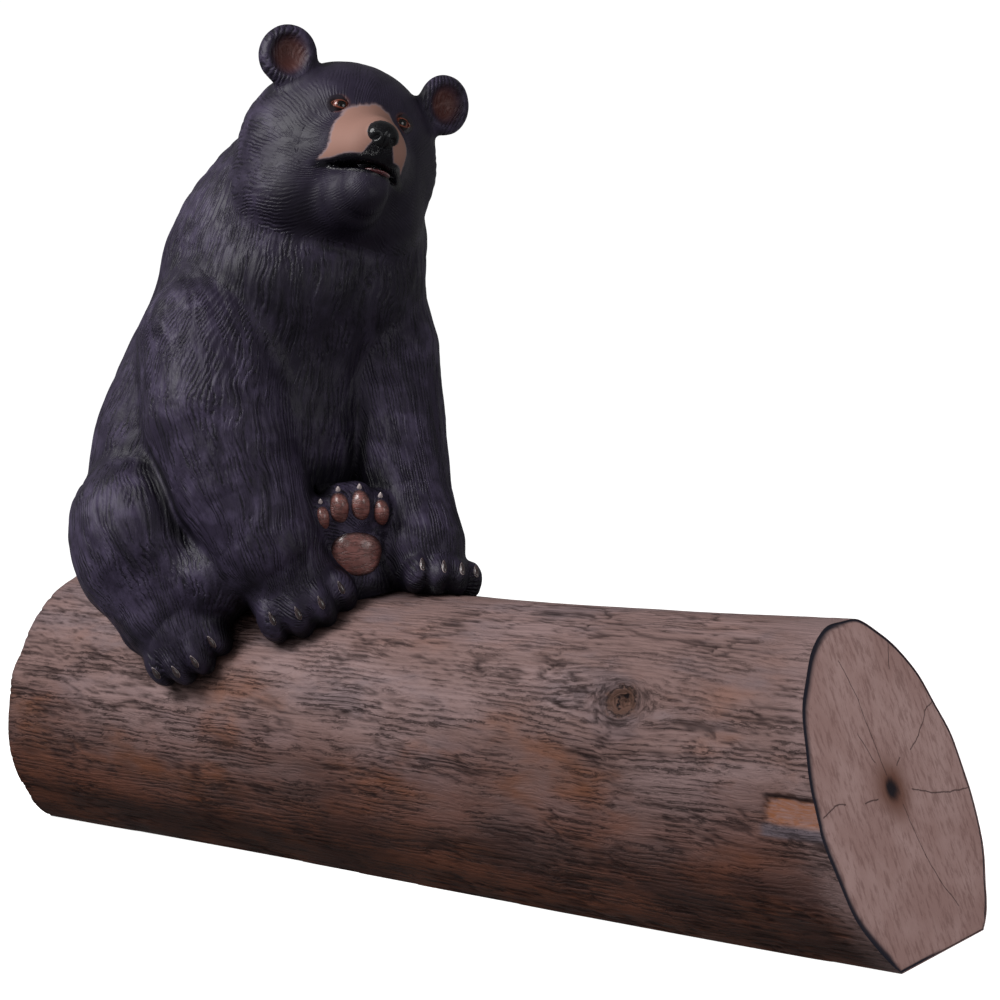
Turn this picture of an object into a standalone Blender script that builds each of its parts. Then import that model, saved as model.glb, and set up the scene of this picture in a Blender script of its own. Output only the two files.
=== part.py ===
"""A life-size statue: a black bear sitting on a length of tree trunk.

Run with: blender --background --python part.py
Metres, +Z up. The origin is the middle of the trunk's flat underside and the trunk lies along X.
The bear is worked out as a sculptor builds one: round masses of muscle, fused and smoothed into a skin.
Its masses are placed in hundredths of the bear's own height, so they keep their proportions.
"""

import math

import bmesh
import bpy
import numpy as np
from mathutils import Matrix, Vector

# Driving sizes of the trunk, in metres and degrees
trunk_length = 1.664
trunk_half_width = 0.226
trunk_half_height = 0.241
trunk_axis_above_floor = 0.199
raked_end_deg = 19.9
plain_end_deg = 3.8
trunk_sides = 60
trunk_rings = 14
bark_ridge = 0.0024
bark_long_swell = 0.0035
bark_cross_swell = 0.0030

# The knot and the place where the bark has come away, on the trunk's front
knot_from_middle = 0.427
knot_round_deg = 55.7
knot_radius = 0.024
knot_depth = 0.011
bare_patch_round_deg = 85.0
bare_patch_length = 0.075
bare_patch_width = 0.042
bare_patch_depth = 0.006

# Driving sizes of the bear
bear_height = 0.93
bear_seat_from_middle = -0.45
bear_facing_deg = 58.0
head_turn_deg = 0.0
head_nod_deg = 3.0
head_lean_deg = 14.5
eye_radius = 0.0135
eye_spacing = 4.4
eye_height = 2.4
eye_outward = 0.12
eye_upward = 0.08
eye_sunk = 0.55
fit_gap = 0.0004

# Each ear's middle on the head (left and up) and its turn outward
left_ear = (15.2, 10.7, 14.0)
right_ear = (-14.2, 11.1, -14.0)

# Where the three paws lie round the trunk, from its top down the front, and which way they point along it
right_paw_round_deg = 28.0
right_paw_facing_deg = -38.0
hind_paw_round_deg = 50.0
hind_paw_facing_deg = -52.0
left_paw_round_deg = -10.5
left_paw_facing_deg = -30.0
right_paw_size = (8.6, 8.6, 5.6)
hind_paw_size = (9.4, 7.8, 5.4)
left_paw_size = (7.4, 6.8, 4.6)
toes_to_a_paw = 4

# The raised left foot: which way its sole faces and leans, and each toe's place on it (left, up) and width
sole_facing_deg = 47.0
sole_lean_deg = -4.0
toe_places = ((5.2, 4.8, 1.9), (1.7, 6.6, 2.0), (-2.0, 6.5, 2.0), (-5.2, 4.6, 1.8))

# The carved locks of fur, which lie down the body in staggered rows
lock_depth = 0.0042
lock_width = 0.048
lock_length = 0.105
body_girth_radius = 22.0

# How finely the skin is worked
skin_grain = 0.0085
seed_margin = 0.010
bear_triangles = 7000
relax_rounds = 8


def share(value):
    """Hundredths of the bear's height, in metres."""
    return value * bear_height / 100


def fresh_collection(name):
    """An empty collection in the scene."""
    made = bpy.data.collections.new(name)
    bpy.context.scene.collection.children.link(made)
    return made


def finish(name, red, green, blue, rough):
    """A painted resin finish."""
    made = bpy.data.materials.new(name)
    made.use_nodes = True
    shader = made.node_tree.nodes["Principled BSDF"]
    shader.inputs["Base Color"].default_value = (red, green, blue, 1)
    shader.inputs["Roughness"].default_value = rough
    made.diffuse_color = (red, green, blue, 1)
    return made


def place(name, mesh, collection, material=None):
    """An object for the mesh, in its collection."""
    made = bpy.data.objects.new(name, mesh)
    collection.objects.link(made)
    if material:
        mesh.materials.clear()
        mesh.materials.append(material)
    return made


def hide_cutter(cutter):
    """Cutters are kept out of the finished model."""
    cutter.hide_render = True
    cutter.display_type = "WIRE"
    return cutter


def cut(target, cutter):
    """Takes the cutter's shape out of the target."""
    step = target.modifiers.new("cut " + cutter.name, "BOOLEAN")
    step.operation = "DIFFERENCE"
    step.solver = "EXACT"
    step.object = cutter


def applied(thing, collection):
    """The object as a plain mesh, with its modifiers worked in and its surface closed."""
    mesh = bpy.data.meshes.new_from_object(thing.evaluated_get(bpy.context.evaluated_depsgraph_get()))
    bm = bmesh.new()
    bm.from_mesh(mesh)
    bmesh.ops.remove_doubles(bm, verts=bm.verts, dist=0.00002)
    bmesh.ops.triangulate(bm, faces=bm.faces)
    bm.to_mesh(mesh)
    bm.free()
    name = thing.name
    bpy.data.objects.remove(thing)
    return place(name, mesh, collection)


# The trunk


def trunk_point(along, round_deg, lift=0.0):
    """A point of the trunk's skin. The angle runs from the top (0) down the front, -Y, side (90)."""
    angle = math.radians(round_deg)
    return Vector((
        along,
        -(trunk_half_width + lift) * math.sin(angle),
        trunk_axis_above_floor + (trunk_half_height + lift) * math.cos(angle),
    ))


def trunk_up(round_deg):
    """The direction straight out of the bark at that angle."""
    angle = math.radians(round_deg)
    out = Vector((0, -math.sin(angle) / trunk_half_width, math.cos(angle) / trunk_half_height))
    return out.normalized()


def swell(along, angle):
    """How far the log stands out of a true oval: slow swellings along it and flats round it."""
    slow = bark_long_swell * math.sin(3 * angle + 4.0 * along)
    slow += bark_cross_swell * math.sin(2 * angle - 2.3 * along + 1.0)
    ridges = math.sin(11 * angle + 1.6 * math.sin(5 * along)) + 0.6 * math.sin(17 * angle - 4 * along)
    return slow + 0.6 * bark_ridge * ridges


def log_mesh(name, inflate=0.0):
    """The log as a many-sided bar with its two ends sawn at their angles and its underside flat."""
    bm = bmesh.new()
    reach = trunk_length / 2 + trunk_half_height
    bmesh.ops.create_cone(
        bm, cap_ends=True, segments=trunk_sides, radius1=1, radius2=1, depth=2 * reach,
        matrix=Matrix.Rotation(math.pi / 2, 4, "Y"),
    )
    for ring in range(1, trunk_rings):
        x = -trunk_length / 2 + ring * trunk_length / trunk_rings
        everything = bm.verts[:] + bm.edges[:] + bm.faces[:]
        bmesh.ops.bisect_plane(bm, geom=everything, plane_co=(x, 0, 0), plane_no=(1, 0, 0))
    for v in bm.verts:
        angle = math.atan2(v.co.z, v.co.y)
        out = swell(v.co.x, angle) + inflate
        v.co.y = (trunk_half_width + out) * math.cos(angle)
        v.co.z = (trunk_half_height + out) * math.sin(angle) + trunk_axis_above_floor
    saw_cuts = (
        ((0, 0, 0), (0, 0, -1)),
        ((trunk_length / 2, 0, 0), (1, 0, math.tan(math.radians(raked_end_deg)))),
        ((-trunk_length / 2, 0, 0), (-1, 0, math.tan(math.radians(plain_end_deg)))),
    )
    for spot, facing in saw_cuts:
        way = Vector(facing).normalized()
        cut_edges = bmesh.ops.bisect_plane(
            bm, geom=bm.verts[:] + bm.edges[:] + bm.faces[:], dist=0.00001,
            plane_co=Vector(spot) + way * inflate, plane_no=way, clear_outer=True,
        )["geom_cut"]
        bmesh.ops.contextual_create(bm, geom=[g for g in cut_edges if isinstance(g, bmesh.types.BMEdge)])
    bmesh.ops.triangulate(bm, faces=bm.faces)
    bmesh.ops.recalc_face_normals(bm, faces=bm.faces)
    mesh = bpy.data.meshes.new(name)
    bm.to_mesh(mesh)
    bm.free()
    return mesh


def knot_cutter(collection):
    """A shallow cone that leaves the crater of a lost branch."""
    bm = bmesh.new()
    facing = trunk_up(knot_round_deg).to_track_quat("Z", "Y").to_matrix().to_4x4()
    spot = Matrix.Translation(trunk_point(knot_from_middle, knot_round_deg))
    bmesh.ops.create_cone(
        bm, cap_ends=True, segments=14, radius1=knot_radius * 0.35, radius2=knot_radius * 1.65,
        depth=2 * knot_depth, matrix=spot @ facing,
    )
    mesh = bpy.data.meshes.new("knot cutter")
    bm.to_mesh(mesh)
    bm.free()
    return hide_cutter(place("knot cutter", mesh, collection))


def bare_patch_cutter(collection):
    """A block that takes off the bark beside the raked end, out through the end."""
    bm = bmesh.new()
    end_x = trunk_length / 2 - math.tan(math.radians(raked_end_deg)) * trunk_axis_above_floor
    along, out = Vector((1, 0, 0)), trunk_up(bare_patch_round_deg)
    turn = Matrix((along, out.cross(along), out)).transposed().to_4x4()
    size = Matrix.Diagonal((2 * bare_patch_length, bare_patch_width, 2 * bare_patch_depth, 1))
    middle = Matrix.Translation(trunk_point(end_x, bare_patch_round_deg))
    bmesh.ops.create_cube(bm, size=1, matrix=middle @ turn @ size)
    mesh = bpy.data.meshes.new("bare patch cutter")
    bm.to_mesh(mesh)
    bm.free()
    return hide_cutter(place("bare patch cutter", mesh, collection))


# The bear's frames: its body faces one way and its head another


def frame_of(facing_deg, pitch_deg=0.0, roll_deg=0.0):
    """Columns are forward, left and up. Facing runs from -Y to +X, pitch lifts the nose, roll lowers the left."""
    turn = Matrix.Rotation(math.radians(facing_deg - 90), 3, "Z")
    nod = Matrix.Rotation(math.radians(-pitch_deg), 3, "Y")
    lean = Matrix.Rotation(math.radians(-roll_deg), 3, "X")
    return turn @ nod @ lean


seat = Vector((bear_seat_from_middle, 0, trunk_axis_above_floor + trunk_half_height))
body_frame = frame_of(bear_facing_deg)
head_frame = frame_of(bear_facing_deg - head_turn_deg, head_nod_deg, head_lean_deg)


def spot(forward, left, up):
    """A point of the body, in hundredths of its height from the seat."""
    return seat + body_frame @ Vector((share(forward), share(left), share(up)))


head_centre = spot(18, 14.1, 77.8)


def head_spot(forward, left, up):
    """A point of the head, in hundredths of the bear's height from the middle of the skull."""
    return head_centre + head_frame @ Vector((share(forward), share(left), share(up)))


# The masses, and the skin that they make together


class Ball:
    """An egg-shaped mass."""

    def __init__(self, centre, radii, frame=None, turn=(0, 0, 0)):
        tilt = Matrix.Identity(3)
        for axis, degrees in zip("XYZ", turn):
            tilt = Matrix.Rotation(math.radians(degrees), 3, axis) @ tilt
        self.centre = Vector(centre)
        self.radii = Vector([share(r) for r in radii])
        self.axes = (frame or body_frame) @ tilt

    def distance(self, points):
        local = (points - np.array(self.centre)) @ np.array(self.axes)
        radii = np.array(self.radii)
        near = np.linalg.norm(local / radii, axis=1)
        steep = np.linalg.norm(local / radii**2, axis=1)
        return near * (near - 1) / np.maximum(steep, 1e-9)

    def add_to(self, bm, margin):
        size = Matrix.Diagonal((*[r + margin for r in self.radii], 1))
        matrix = Matrix.Translation(self.centre) @ self.axes.to_4x4() @ size
        bmesh.ops.create_uvsphere(bm, u_segments=20, v_segments=12, radius=1, matrix=matrix)


class Limb:
    """A chain of round stretches that taper from station to station."""

    def __init__(self, *stations):
        self.points = [Vector(p) for p, _ in stations]
        self.radii = [share(r) for _, r in stations]

    def distance(self, points):
        found = None
        for a, b, ra, rb in zip(self.points, self.points[1:], self.radii, self.radii[1:]):
            start, way = np.array(a), np.array(b - a)
            along = np.clip((points - start) @ way / (way @ way), 0, 1)
            gap = np.linalg.norm(points - start - along[:, None] * way, axis=1) - (ra + along * (rb - ra))
            found = gap if found is None else np.minimum(found, gap)
        return found

    def add_to(self, bm, margin):
        radii = [r + margin for r in self.radii]
        for point, radius in zip(self.points, radii):
            bmesh.ops.create_icosphere(bm, subdivisions=3, radius=radius, matrix=Matrix.Translation(point))
        for a, b, ra, rb in zip(self.points, self.points[1:], radii, radii[1:]):
            way = b - a
            matrix = Matrix.Translation((a + b) / 2) @ way.to_track_quat("Z", "Y").to_matrix().to_4x4()
            bmesh.ops.create_cone(
                bm, cap_ends=True, segments=20, radius1=ra, radius2=rb, depth=way.length, matrix=matrix
            )


def fuse(a, b, reach):
    """The nearer of two surfaces, melted together over the reach."""
    mix = np.clip(0.5 + 0.5 * (b - a) / reach, 0, 1)
    return b + (a - b) * mix - reach * mix * (1 - mix)


def hollow(a, b, reach):
    """Surface a with b scooped out of it, the edge rounded over the reach."""
    return -fuse(-a, b, reach)


class Group:
    """Masses that melt into each other over their own reach, and into the rest over the seam."""

    def __init__(self, reach, seam, masses):
        self.reach, self.seam, self.masses = share(reach), share(seam), masses

    def distance(self, points):
        found = self.masses[0].distance(points)
        for mass in self.masses[1:]:
            found = fuse(found, mass.distance(points), self.reach)
        return found


def torso():
    return Group(7, 0, [
        Ball(spot(-4, -3, 14), (20, 25, 19)),
        Ball(spot(-4, -5, 25), (16, 22, 20)),
        Ball(spot(6, 3, 25), (18, 18, 19)),
        Ball(spot(-2, -2, 40), (16, 18, 17)),
        Ball(spot(8, 6, 38), (14, 15, 16)),
        Ball(spot(9, 9, 53), (17, 21, 16)),
        Ball(spot(-1, 0, 57), (13, 14.5, 13)),
        Ball(spot(2, 4, 66), (13, 13.5, 12)),
        Ball(spot(8, 12.5, 63), (14, 18.5, 12)),
        Ball(spot(7, 9, 73), (12, 12, 10)),
    ])


def paw_frame(round_deg, facing_deg):
    """A frame lying on the bark: up is out of it, forward is along the trunk turned by the facing."""
    up = trunk_up(round_deg)
    along = Vector((1, 0, 0))
    across = up.cross(along)
    angle = math.radians(facing_deg)
    forward = along * math.cos(angle) + across * math.sin(angle)
    left = up.cross(forward)
    return Matrix((forward, left, up)).transposed()


def paw_masses(centre, frame, length, width, height):
    """The pad of a paw with its row of toes."""

    def on_paw(forward, left, up):
        return centre + frame @ Vector((share(forward), share(left), share(up)))

    masses = [Ball(on_paw(0, 0, 0), (length, width, height), frame)]
    for n in range(toes_to_a_paw):
        side = 2 * n / (toes_to_a_paw - 1) - 1
        arch = 1 - side**2
        masses.append(Ball(
            on_paw(length * (0.52 + 0.26 * arch), side * width * 0.74, -0.12 * height),
            (length * 0.40, width * 0.29, height * 0.72), frame,
        ))
    return masses


front_paw_right = trunk_point(seat.x + share(23.5), right_paw_round_deg, share(3.2))
hind_paw_right = trunk_point(seat.x + share(3.8), hind_paw_round_deg, share(3.6))
front_paw_left = trunk_point(seat.x + share(39.2), left_paw_round_deg, share(2.6))
right_paw_frame = paw_frame(right_paw_round_deg, right_paw_facing_deg)
hind_paw_frame = paw_frame(hind_paw_round_deg, hind_paw_facing_deg)
left_paw_frame = paw_frame(left_paw_round_deg, left_paw_facing_deg)


def right_arm():
    return Group(4, 1.8, [
        Limb(
            (spot(7, -6, 47), 12.0),
            (spot(9, -7.6, 42), 14.0),
            (spot(14, -8.5, 30), 13.6),
            (spot(19, -6.5, 18), 12.0),
            (spot(24, -3.2, 8), 10.0),
            (front_paw_right, 7.2),
        ),
    ])


def left_arm():
    return Group(4, 1.8, [
        Limb(
            (spot(8, 20, 50), 11.0),
            (spot(11, 21.8, 41), 10.8),
            (spot(16, 22.8, 28), 9.2),
            (spot(22, 23, 15), 8.0),
            (spot(28, 23.8, 7), 7.4),
            (front_paw_left, 5.4),
        ),
    ])


def right_leg():
    return Group(4, 2.0, [
        Ball(spot(3, -20.5, 9), (16, 13, 14.5)),
        Ball(spot(15, -11, 2), (11, 9, 8)),
        Limb(
            (spot(7, -20, 3), 11.5),
            (spot(11, -17.5, -4), 9.6),
            (hind_paw_right, 7.4),
        ),
    ])


sole_centre = spot(29.5, 10.6, 8.6)
sole_frame = frame_of(sole_facing_deg, 0, sole_lean_deg)


def sole_spot(forward, left, up):
    """A point of the raised foot, from the middle of its sole. Forward is out of the sole."""
    return sole_centre + sole_frame @ Vector((share(forward), share(left), share(up)))


def left_leg():
    toes = [
        Ball(sole_spot(-2.0, left, up), (3.6, width, 2.9), sole_frame)
        for left, up, width in toe_places
    ]
    return Group(2, 1.6, [
        Ball(sole_spot(-3.6, 0, 0), (4.6, 7.0, 9.8), sole_frame),
        Ball(sole_spot(-4.5, 0.6, -7.5), (6.0, 7.0, 5.5), sole_frame),
        Ball(spot(13, 14, 7.5), (16, 10, 10)),
        Ball(spot(20.5, 18.5, 1.5), (9, 7, 5.5)),
        Limb((sole_spot(-6, 0, -2), 6.4), (spot(12, 10, 9), 10.5)),
        *toes,
    ])


def head():
    masses = [
        Ball(head_spot(-1.5, 0, 3.4), (13.5, 13.5, 10.4), head_frame),
        Ball(head_spot(4.5, 0, 3.8), (6.0, 8.6, 5.4), head_frame),
        Ball(head_spot(-3, 0, -10.5), (13, 13.5, 10.5), head_frame),
        Limb((head_spot(5, 0, -0.8), 5.6), (head_spot(18.2, 0, -2.2), 3.6)),
    ]
    for side in (1, -1):
        masses += [
            Ball(head_spot(-4, 8 * side, -3), (11, 10, 12.5), head_frame),
            Ball(head_spot(-3, 7.5 * side, -12.5), (11.5, 9, 8), head_frame),
            Ball(head_spot(10, 2.8 * side, -3.4), (7.5, 4.4, 4.6), head_frame),
            Limb((head_spot(9.5, 4.4 * side, -5.4), 3.4), (head_spot(18.0, 2.0 * side, -4.6), 2.6)),
        ]
    return Group(3.6, 2.0, masses)


def jaw():
    return Group(1.2, 2.2, [
        Limb((head_spot(5, 0, -12), 6.4), (head_spot(11, 0, -11.6), 5.6), (head_spot(15.4, 0.4, -10.9), 4.2)),
    ])


def ears():
    return [
        Group(0.5, 2.2, [Ball(head_spot(2, left, up), (2.6, 5.0, 5.3), head_frame, (0, 0, outward))])
        for left, up, outward in (left_ear, right_ear)
    ]


def nose():
    return Group(0.5, 0.5, [Ball(head_spot(21.1, 0, -2.1), (2.0, 2.8, 2.4), head_frame)])


def paws():
    return [
        Group(1.0, 1.8, paw_masses(front_paw_right, right_paw_frame, *right_paw_size)),
        Group(1.0, 1.8, paw_masses(hind_paw_right, hind_paw_frame, *hind_paw_size)),
        Group(1.0, 1.6, paw_masses(front_paw_left, left_paw_frame, *left_paw_size)),
    ]


def all_groups():
    limbs = [right_leg(), left_leg(), right_arm(), left_arm(), *paws()]
    return [torso(), *limbs, head(), jaw(), *ears(), nose()]


def scoops():
    """What is carved back out: the mouth and the cups of the ears."""
    mouth = Group(0.6, 0.6, [Ball(head_spot(16, 0, -7.5), (7.5, 6.6, 0.55), head_frame, (0, -4, 0))])
    cups = []
    for left, up, outward in (left_ear, right_ear):
        cup = Ball(head_spot(4.6, left * 1.02, up - 0.1), (2.4, 3.5, 3.9), head_frame, (0, 0, outward))
        cups.append(Group(0.5, 0.8, [cup]))
    return [mouth, *cups]


def skin_distance(points, groups, carved):
    """How far each point is outside the bear's finished skin."""
    found = groups[0].distance(points)
    for group in groups[1:]:
        found = fuse(found, group.distance(points), group.seam)
    for group in carved:
        found = hollow(found, group.distance(points), group.seam)
    return found


def quiet_spots():
    """Where the carving fades out, and how far from there: the face, the ears and the feet."""
    return (
        (head_spot(12, 0, -3), 15),
        (head_spot(2, *left_ear[:2]), 7),
        (head_spot(2, *right_ear[:2]), 7),
        (front_paw_right, 11),
        (front_paw_left, 10),
        (hind_paw_right, 11),
        (sole_centre, 13),
    )


def fur_locks(points):
    """How far the carved locks stand above or below the skin."""
    forward, left, up = ((points - np.array(seat)) @ np.array(body_frame)).T
    turn = np.arctan2(left - 0.15 * up, forward)
    sway = 0.35 * np.sin(up / share(4.6)) + 0.25 * np.sin(up / share(2.9) + 2 * turn)
    locks_round = 2 * round(math.pi * share(body_girth_radius) / lock_width)
    across = turn * locks_round / (2 * math.pi) + sway
    ridge = np.cos(2 * np.pi * across)
    row = up / lock_length + 0.5 * np.floor(across) + 0.2 * np.sin(3 * turn)
    tip = 1 - np.mod(row, 1)
    fade = np.ones(len(points))
    for spot_point, reach in quiet_spots():
        away = np.linalg.norm(points - np.array(spot_point), axis=1)
        fade *= np.clip((away - share(reach)) / share(6), 0, 1)
    return lock_depth * fade * (ridge * (0.35 + 0.65 * tip))


def skin_along(start, way, groups, carved):
    """Where the skin is met on the way out from a point inside."""
    steps = np.arange(0, share(20), 0.0005)
    outside = skin_distance(np.array(start) + steps[:, None] * np.array(way), groups, carved) > 0
    return start + way * float(steps[np.argmax(outside)])


def eye_centres():
    """Each eye sits in the skin in front of its place in the skull, turned a little outward."""
    groups, carved = all_groups(), scoops()
    centres = []
    for side in (1, -1):
        way = (head_frame @ Vector((1, eye_outward * side, eye_upward))).normalized()
        met = skin_along(head_spot(2, eye_spacing * side, eye_height), way, groups, carved)
        centres.append(met - way * eye_radius * eye_sunk)
    return centres


def draw_onto_skin(mesh, groups, carved, grain):
    """Slides each point of the mesh along its normal until it lies on the finished skin."""
    places = np.empty(len(mesh.vertices) * 3, np.float32)
    facing = np.empty(len(mesh.vertices) * 3, np.float32)
    for _ in range(relax_rounds):
        mesh.vertices.foreach_get("co", places)
        mesh.vertex_normals.foreach_get("vector", facing)
        points = places.reshape(-1, 3).astype(float)
        step = np.clip(skin_distance(points, groups, carved) - fur_locks(points), -grain, grain)
        points -= facing.reshape(-1, 3) * step[:, None]
        mesh.vertices.foreach_set("co", points.astype(np.float32).ravel())
        mesh.update()


def bear_object(collection, material):
    """The masses fused into one body, drawn onto the smooth skin and thinned to few faces."""
    groups, carved = all_groups(), scoops()
    bm = bmesh.new()
    for group in groups:
        for mass in group.masses:
            mass.add_to(bm, seed_margin)
    mesh = bpy.data.meshes.new("bear masses")
    bm.to_mesh(mesh)
    bm.free()
    bear = place("bear", mesh, collection)
    for grain in (1.6 * skin_grain, skin_grain):
        fused = bear.modifiers.new("fuse", "REMESH")
        fused.mode = "VOXEL"
        fused.voxel_size = grain
        bear = applied(bear, collection)
        draw_onto_skin(bear.data, groups, carved, grain)
    ease = bear.modifiers.new("ease", "SMOOTH")
    ease.factor = 0.5
    ease.iterations = 2
    thin = bear.modifiers.new("thin", "DECIMATE")
    thin.ratio = bear_triangles / len(bear.data.polygons)
    bear = applied(bear, collection)
    bear.data.materials.append(material)
    return bear


def eye_ball(name, centre, radius, collection, material=None):
    """A ball of glass, or the socket that it is set in."""
    bm = bmesh.new()
    matrix = Matrix.Translation(centre) @ head_frame.to_4x4()
    bmesh.ops.create_uvsphere(bm, u_segments=14, v_segments=10, radius=radius, matrix=matrix)
    mesh = bpy.data.meshes.new(name)
    bm.to_mesh(mesh)
    bm.free()
    return place(name, mesh, collection, material)


def main():
    for old in list(bpy.data.objects):
        bpy.data.objects.remove(old)
    statue = fresh_collection("bear on tree trunk")
    cutters = fresh_collection("cutters")
    bark = finish("painted bark", 0.20, 0.13, 0.11, 0.8)
    fur = finish("painted black fur", 0.025, 0.024, 0.03, 0.5)
    glass = finish("amber glass", 0.25, 0.07, 0.02, 0.08)

    trunk = place("tree_trunk", log_mesh("tree_trunk"), statue, bark)
    cut(trunk, knot_cutter(cutters))
    cut(trunk, bare_patch_cutter(cutters))
    applied(trunk, statue)

    bear = bear_object(statue, fur)
    cut(bear, hide_cutter(place("trunk cutter", log_mesh("trunk cutter", fit_gap), cutters)))
    for name, centre in zip(("left_eye", "right_eye"), eye_centres()):
        eye_ball(name, centre, eye_radius, statue, glass)
        socket = eye_ball(name + " socket", centre, eye_radius + fit_gap, cutters)
        cut(bear, hide_cutter(socket))
    bear = applied(bear, statue)
    bear.data.shade_smooth()


main()
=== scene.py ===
import math

import bpy
import numpy as np
from mathutils import Matrix, Vector, noise


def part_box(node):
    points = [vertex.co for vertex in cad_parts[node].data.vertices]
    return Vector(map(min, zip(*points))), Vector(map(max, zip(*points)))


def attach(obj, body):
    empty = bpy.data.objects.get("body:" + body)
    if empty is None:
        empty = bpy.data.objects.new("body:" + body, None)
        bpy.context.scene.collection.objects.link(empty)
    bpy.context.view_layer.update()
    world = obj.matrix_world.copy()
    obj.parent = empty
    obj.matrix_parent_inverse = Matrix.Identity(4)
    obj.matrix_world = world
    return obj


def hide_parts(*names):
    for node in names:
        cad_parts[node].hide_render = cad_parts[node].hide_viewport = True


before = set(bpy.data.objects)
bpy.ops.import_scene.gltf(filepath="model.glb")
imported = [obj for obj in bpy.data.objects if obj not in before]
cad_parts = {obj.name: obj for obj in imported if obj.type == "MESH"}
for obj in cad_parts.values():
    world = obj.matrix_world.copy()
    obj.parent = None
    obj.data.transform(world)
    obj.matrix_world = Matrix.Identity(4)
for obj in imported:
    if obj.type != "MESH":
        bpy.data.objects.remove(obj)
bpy.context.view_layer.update()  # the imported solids, in metres, which every piece here is fitted to
noise.seed_set(1)  # drift below draws its offsets from this, the same in every run
print("stage: frame loaded")


# Numbers over many points at once

def ease(value, low, high):  # 0 up to low, 1 from high, a soft slope between
    t = np.clip((value - low) / (high - low), 0, 1)
    return t * t * (3 - 2 * t)


def ripple(points, pitch, seed=0.0):  # a soft random height, about -1 to 1, that changes over one pitch
    shift = Vector((seed, 1.7 * seed, 0.6 * seed))
    return np.array([noise.noise(Vector(p) / pitch + shift) for p in points.tolist()])


def drift(points, pitch, seed=0.0):  # the same as a direction
    shift = Vector((seed, 0.4 * seed, 1.3 * seed))
    return np.array([noise.noise_vector(Vector(p) / pitch + shift) for p in points.tolist()])


def unit(way):
    way = np.array(way, float)
    return way / np.linalg.norm(way)


# A node material written as sums

class Wire:  # one output of a node
    def __init__(self, paint, socket):
        self.paint, self.socket = paint, socket

    def __add__(self, other):
        return self.paint.sum("ADD", self, other)

    def __radd__(self, other):
        return self.paint.sum("ADD", other, self)

    def __sub__(self, other):
        return self.paint.sum("SUBTRACT", self, other)

    def __rsub__(self, other):
        return self.paint.sum("SUBTRACT", other, self)

    def __mul__(self, other):
        return self.paint.sum("MULTIPLY", self, other)

    def __rmul__(self, other):
        return self.paint.sum("MULTIPLY", other, self)

    def __truediv__(self, other):
        return self.paint.sum("DIVIDE", self, other)

    def __abs__(self):
        return self.paint.sum("ABSOLUTE", self)


class Paint:  # a material, with one method that adds any node
    def __init__(self, name, **plain):
        self.material = bpy.data.materials.new(name)
        self.material.use_nodes = True
        self.tree = self.material.node_tree
        self.shader = self.tree.nodes["Principled BSDF"]
        for socket, value in plain.items():
            self.shader.inputs[socket.replace("_", " ")].default_value = value

    def node(self, kind, settings=None, values=None, output=0):
        made = self.tree.nodes.new(kind)
        for key, value in (settings or {}).items():
            if key == "stops":
                ramp = made.color_ramp
                while len(ramp.elements) < len(value):
                    ramp.elements.new(0.5)
                for element, (position, colour) in zip(ramp.elements, value):
                    element.position, element.color = position, (*colour, 1)
            else:
                setattr(made, key, value)
        for key, value in (values or {}).items():
            if isinstance(value, Wire):
                self.tree.links.new(value.socket, made.inputs[key])
            else:
                made.inputs[key].default_value = value
        return Wire(self, made.outputs[output])

    def sum(self, operation, a, b=0.0):
        return self.node("ShaderNodeMath", {"operation": operation}, {0: a, 1: b})

    def vector(self, operation, a, b=(0, 0, 0), output=0):
        return self.node("ShaderNodeVectorMath", {"operation": operation}, {0: a, 1: b}, output)

    def stretched(self, wire, scale):
        return self.vector("MULTIPLY", wire, scale)

    def place(self):  # the point on the piece, in metres
        return self.node("ShaderNodeTexCoord", output="Object")

    def told(self, name, output="Vector"):  # a value kept on the mesh
        return self.node("ShaderNodeAttribute", {"attribute_name": name}, output=output)

    def parts(self, wire):
        return [self.node("ShaderNodeSeparateXYZ", None, {0: wire}, n) for n in range(3)]

    def cloud(self, wire, scale, detail=2.0, rough=0.5, warp=0.0):
        values = {"Vector": wire, "Scale": scale, "Detail": detail, "Roughness": rough, "Distortion": warp}
        return self.node("ShaderNodeTexNoise", None, values)

    def between(self, wire, low, high, start=0.0, end=1.0):
        values = {"Value": wire, "From Min": low, "From Max": high, "To Min": start, "To Max": end}
        return self.node("ShaderNodeMapRange", {"interpolation_type": "SMOOTHSTEP"}, values)

    def mix(self, factor, a, b):  # two colours
        a, b = [(*c, 1) if isinstance(c, tuple) else c for c in (a, b)]
        return self.node("ShaderNodeMix", {"data_type": "RGBA"}, {0: factor, 6: a, 7: b}, 2)

    def layered(self, colour, *layers):  # each layer's factor and colour over those before it
        for factor, over in layers:
            colour = self.mix(factor, colour, over)
        return colour

    def feed(self, socket, wire):
        self.tree.links.new(wire.socket, self.shader.inputs[socket])

    def dressed(self, colour, rough, height, depth, strength=1.0):  # with all its looks joined
        values = {"Height": height, "Distance": depth, "Strength": strength}
        self.feed("Base Color", colour)
        self.feed("Roughness", rough)
        self.feed("Normal", self.node("ShaderNodeBump", None, values))
        return self


def addPiece(name, points, faces, paints, notes=None, normals=None):
    mesh = bpy.data.meshes.new(name)
    mesh.from_pydata([tuple(p) for p in points], [], [tuple(f) for f in faces])
    for key, values in (notes or {}).items():
        kind, field = ("FLOAT_VECTOR", "vector") if np.ndim(values) == 2 else ("FLOAT", "value")
        mesh.attributes.new(key, kind, "POINT").data.foreach_set(field, np.ravel(values).astype(np.float32))
    for paint in paints:
        mesh.materials.append(paint.material)
    mesh.validate()
    mesh.shade_smooth()
    if normals is not None:
        mesh.normals_split_custom_set_from_vertices(normals)
    piece = bpy.data.objects.new(name, mesh)
    bpy.context.scene.collection.objects.link(piece)
    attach(piece, "root")
    return piece


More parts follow.
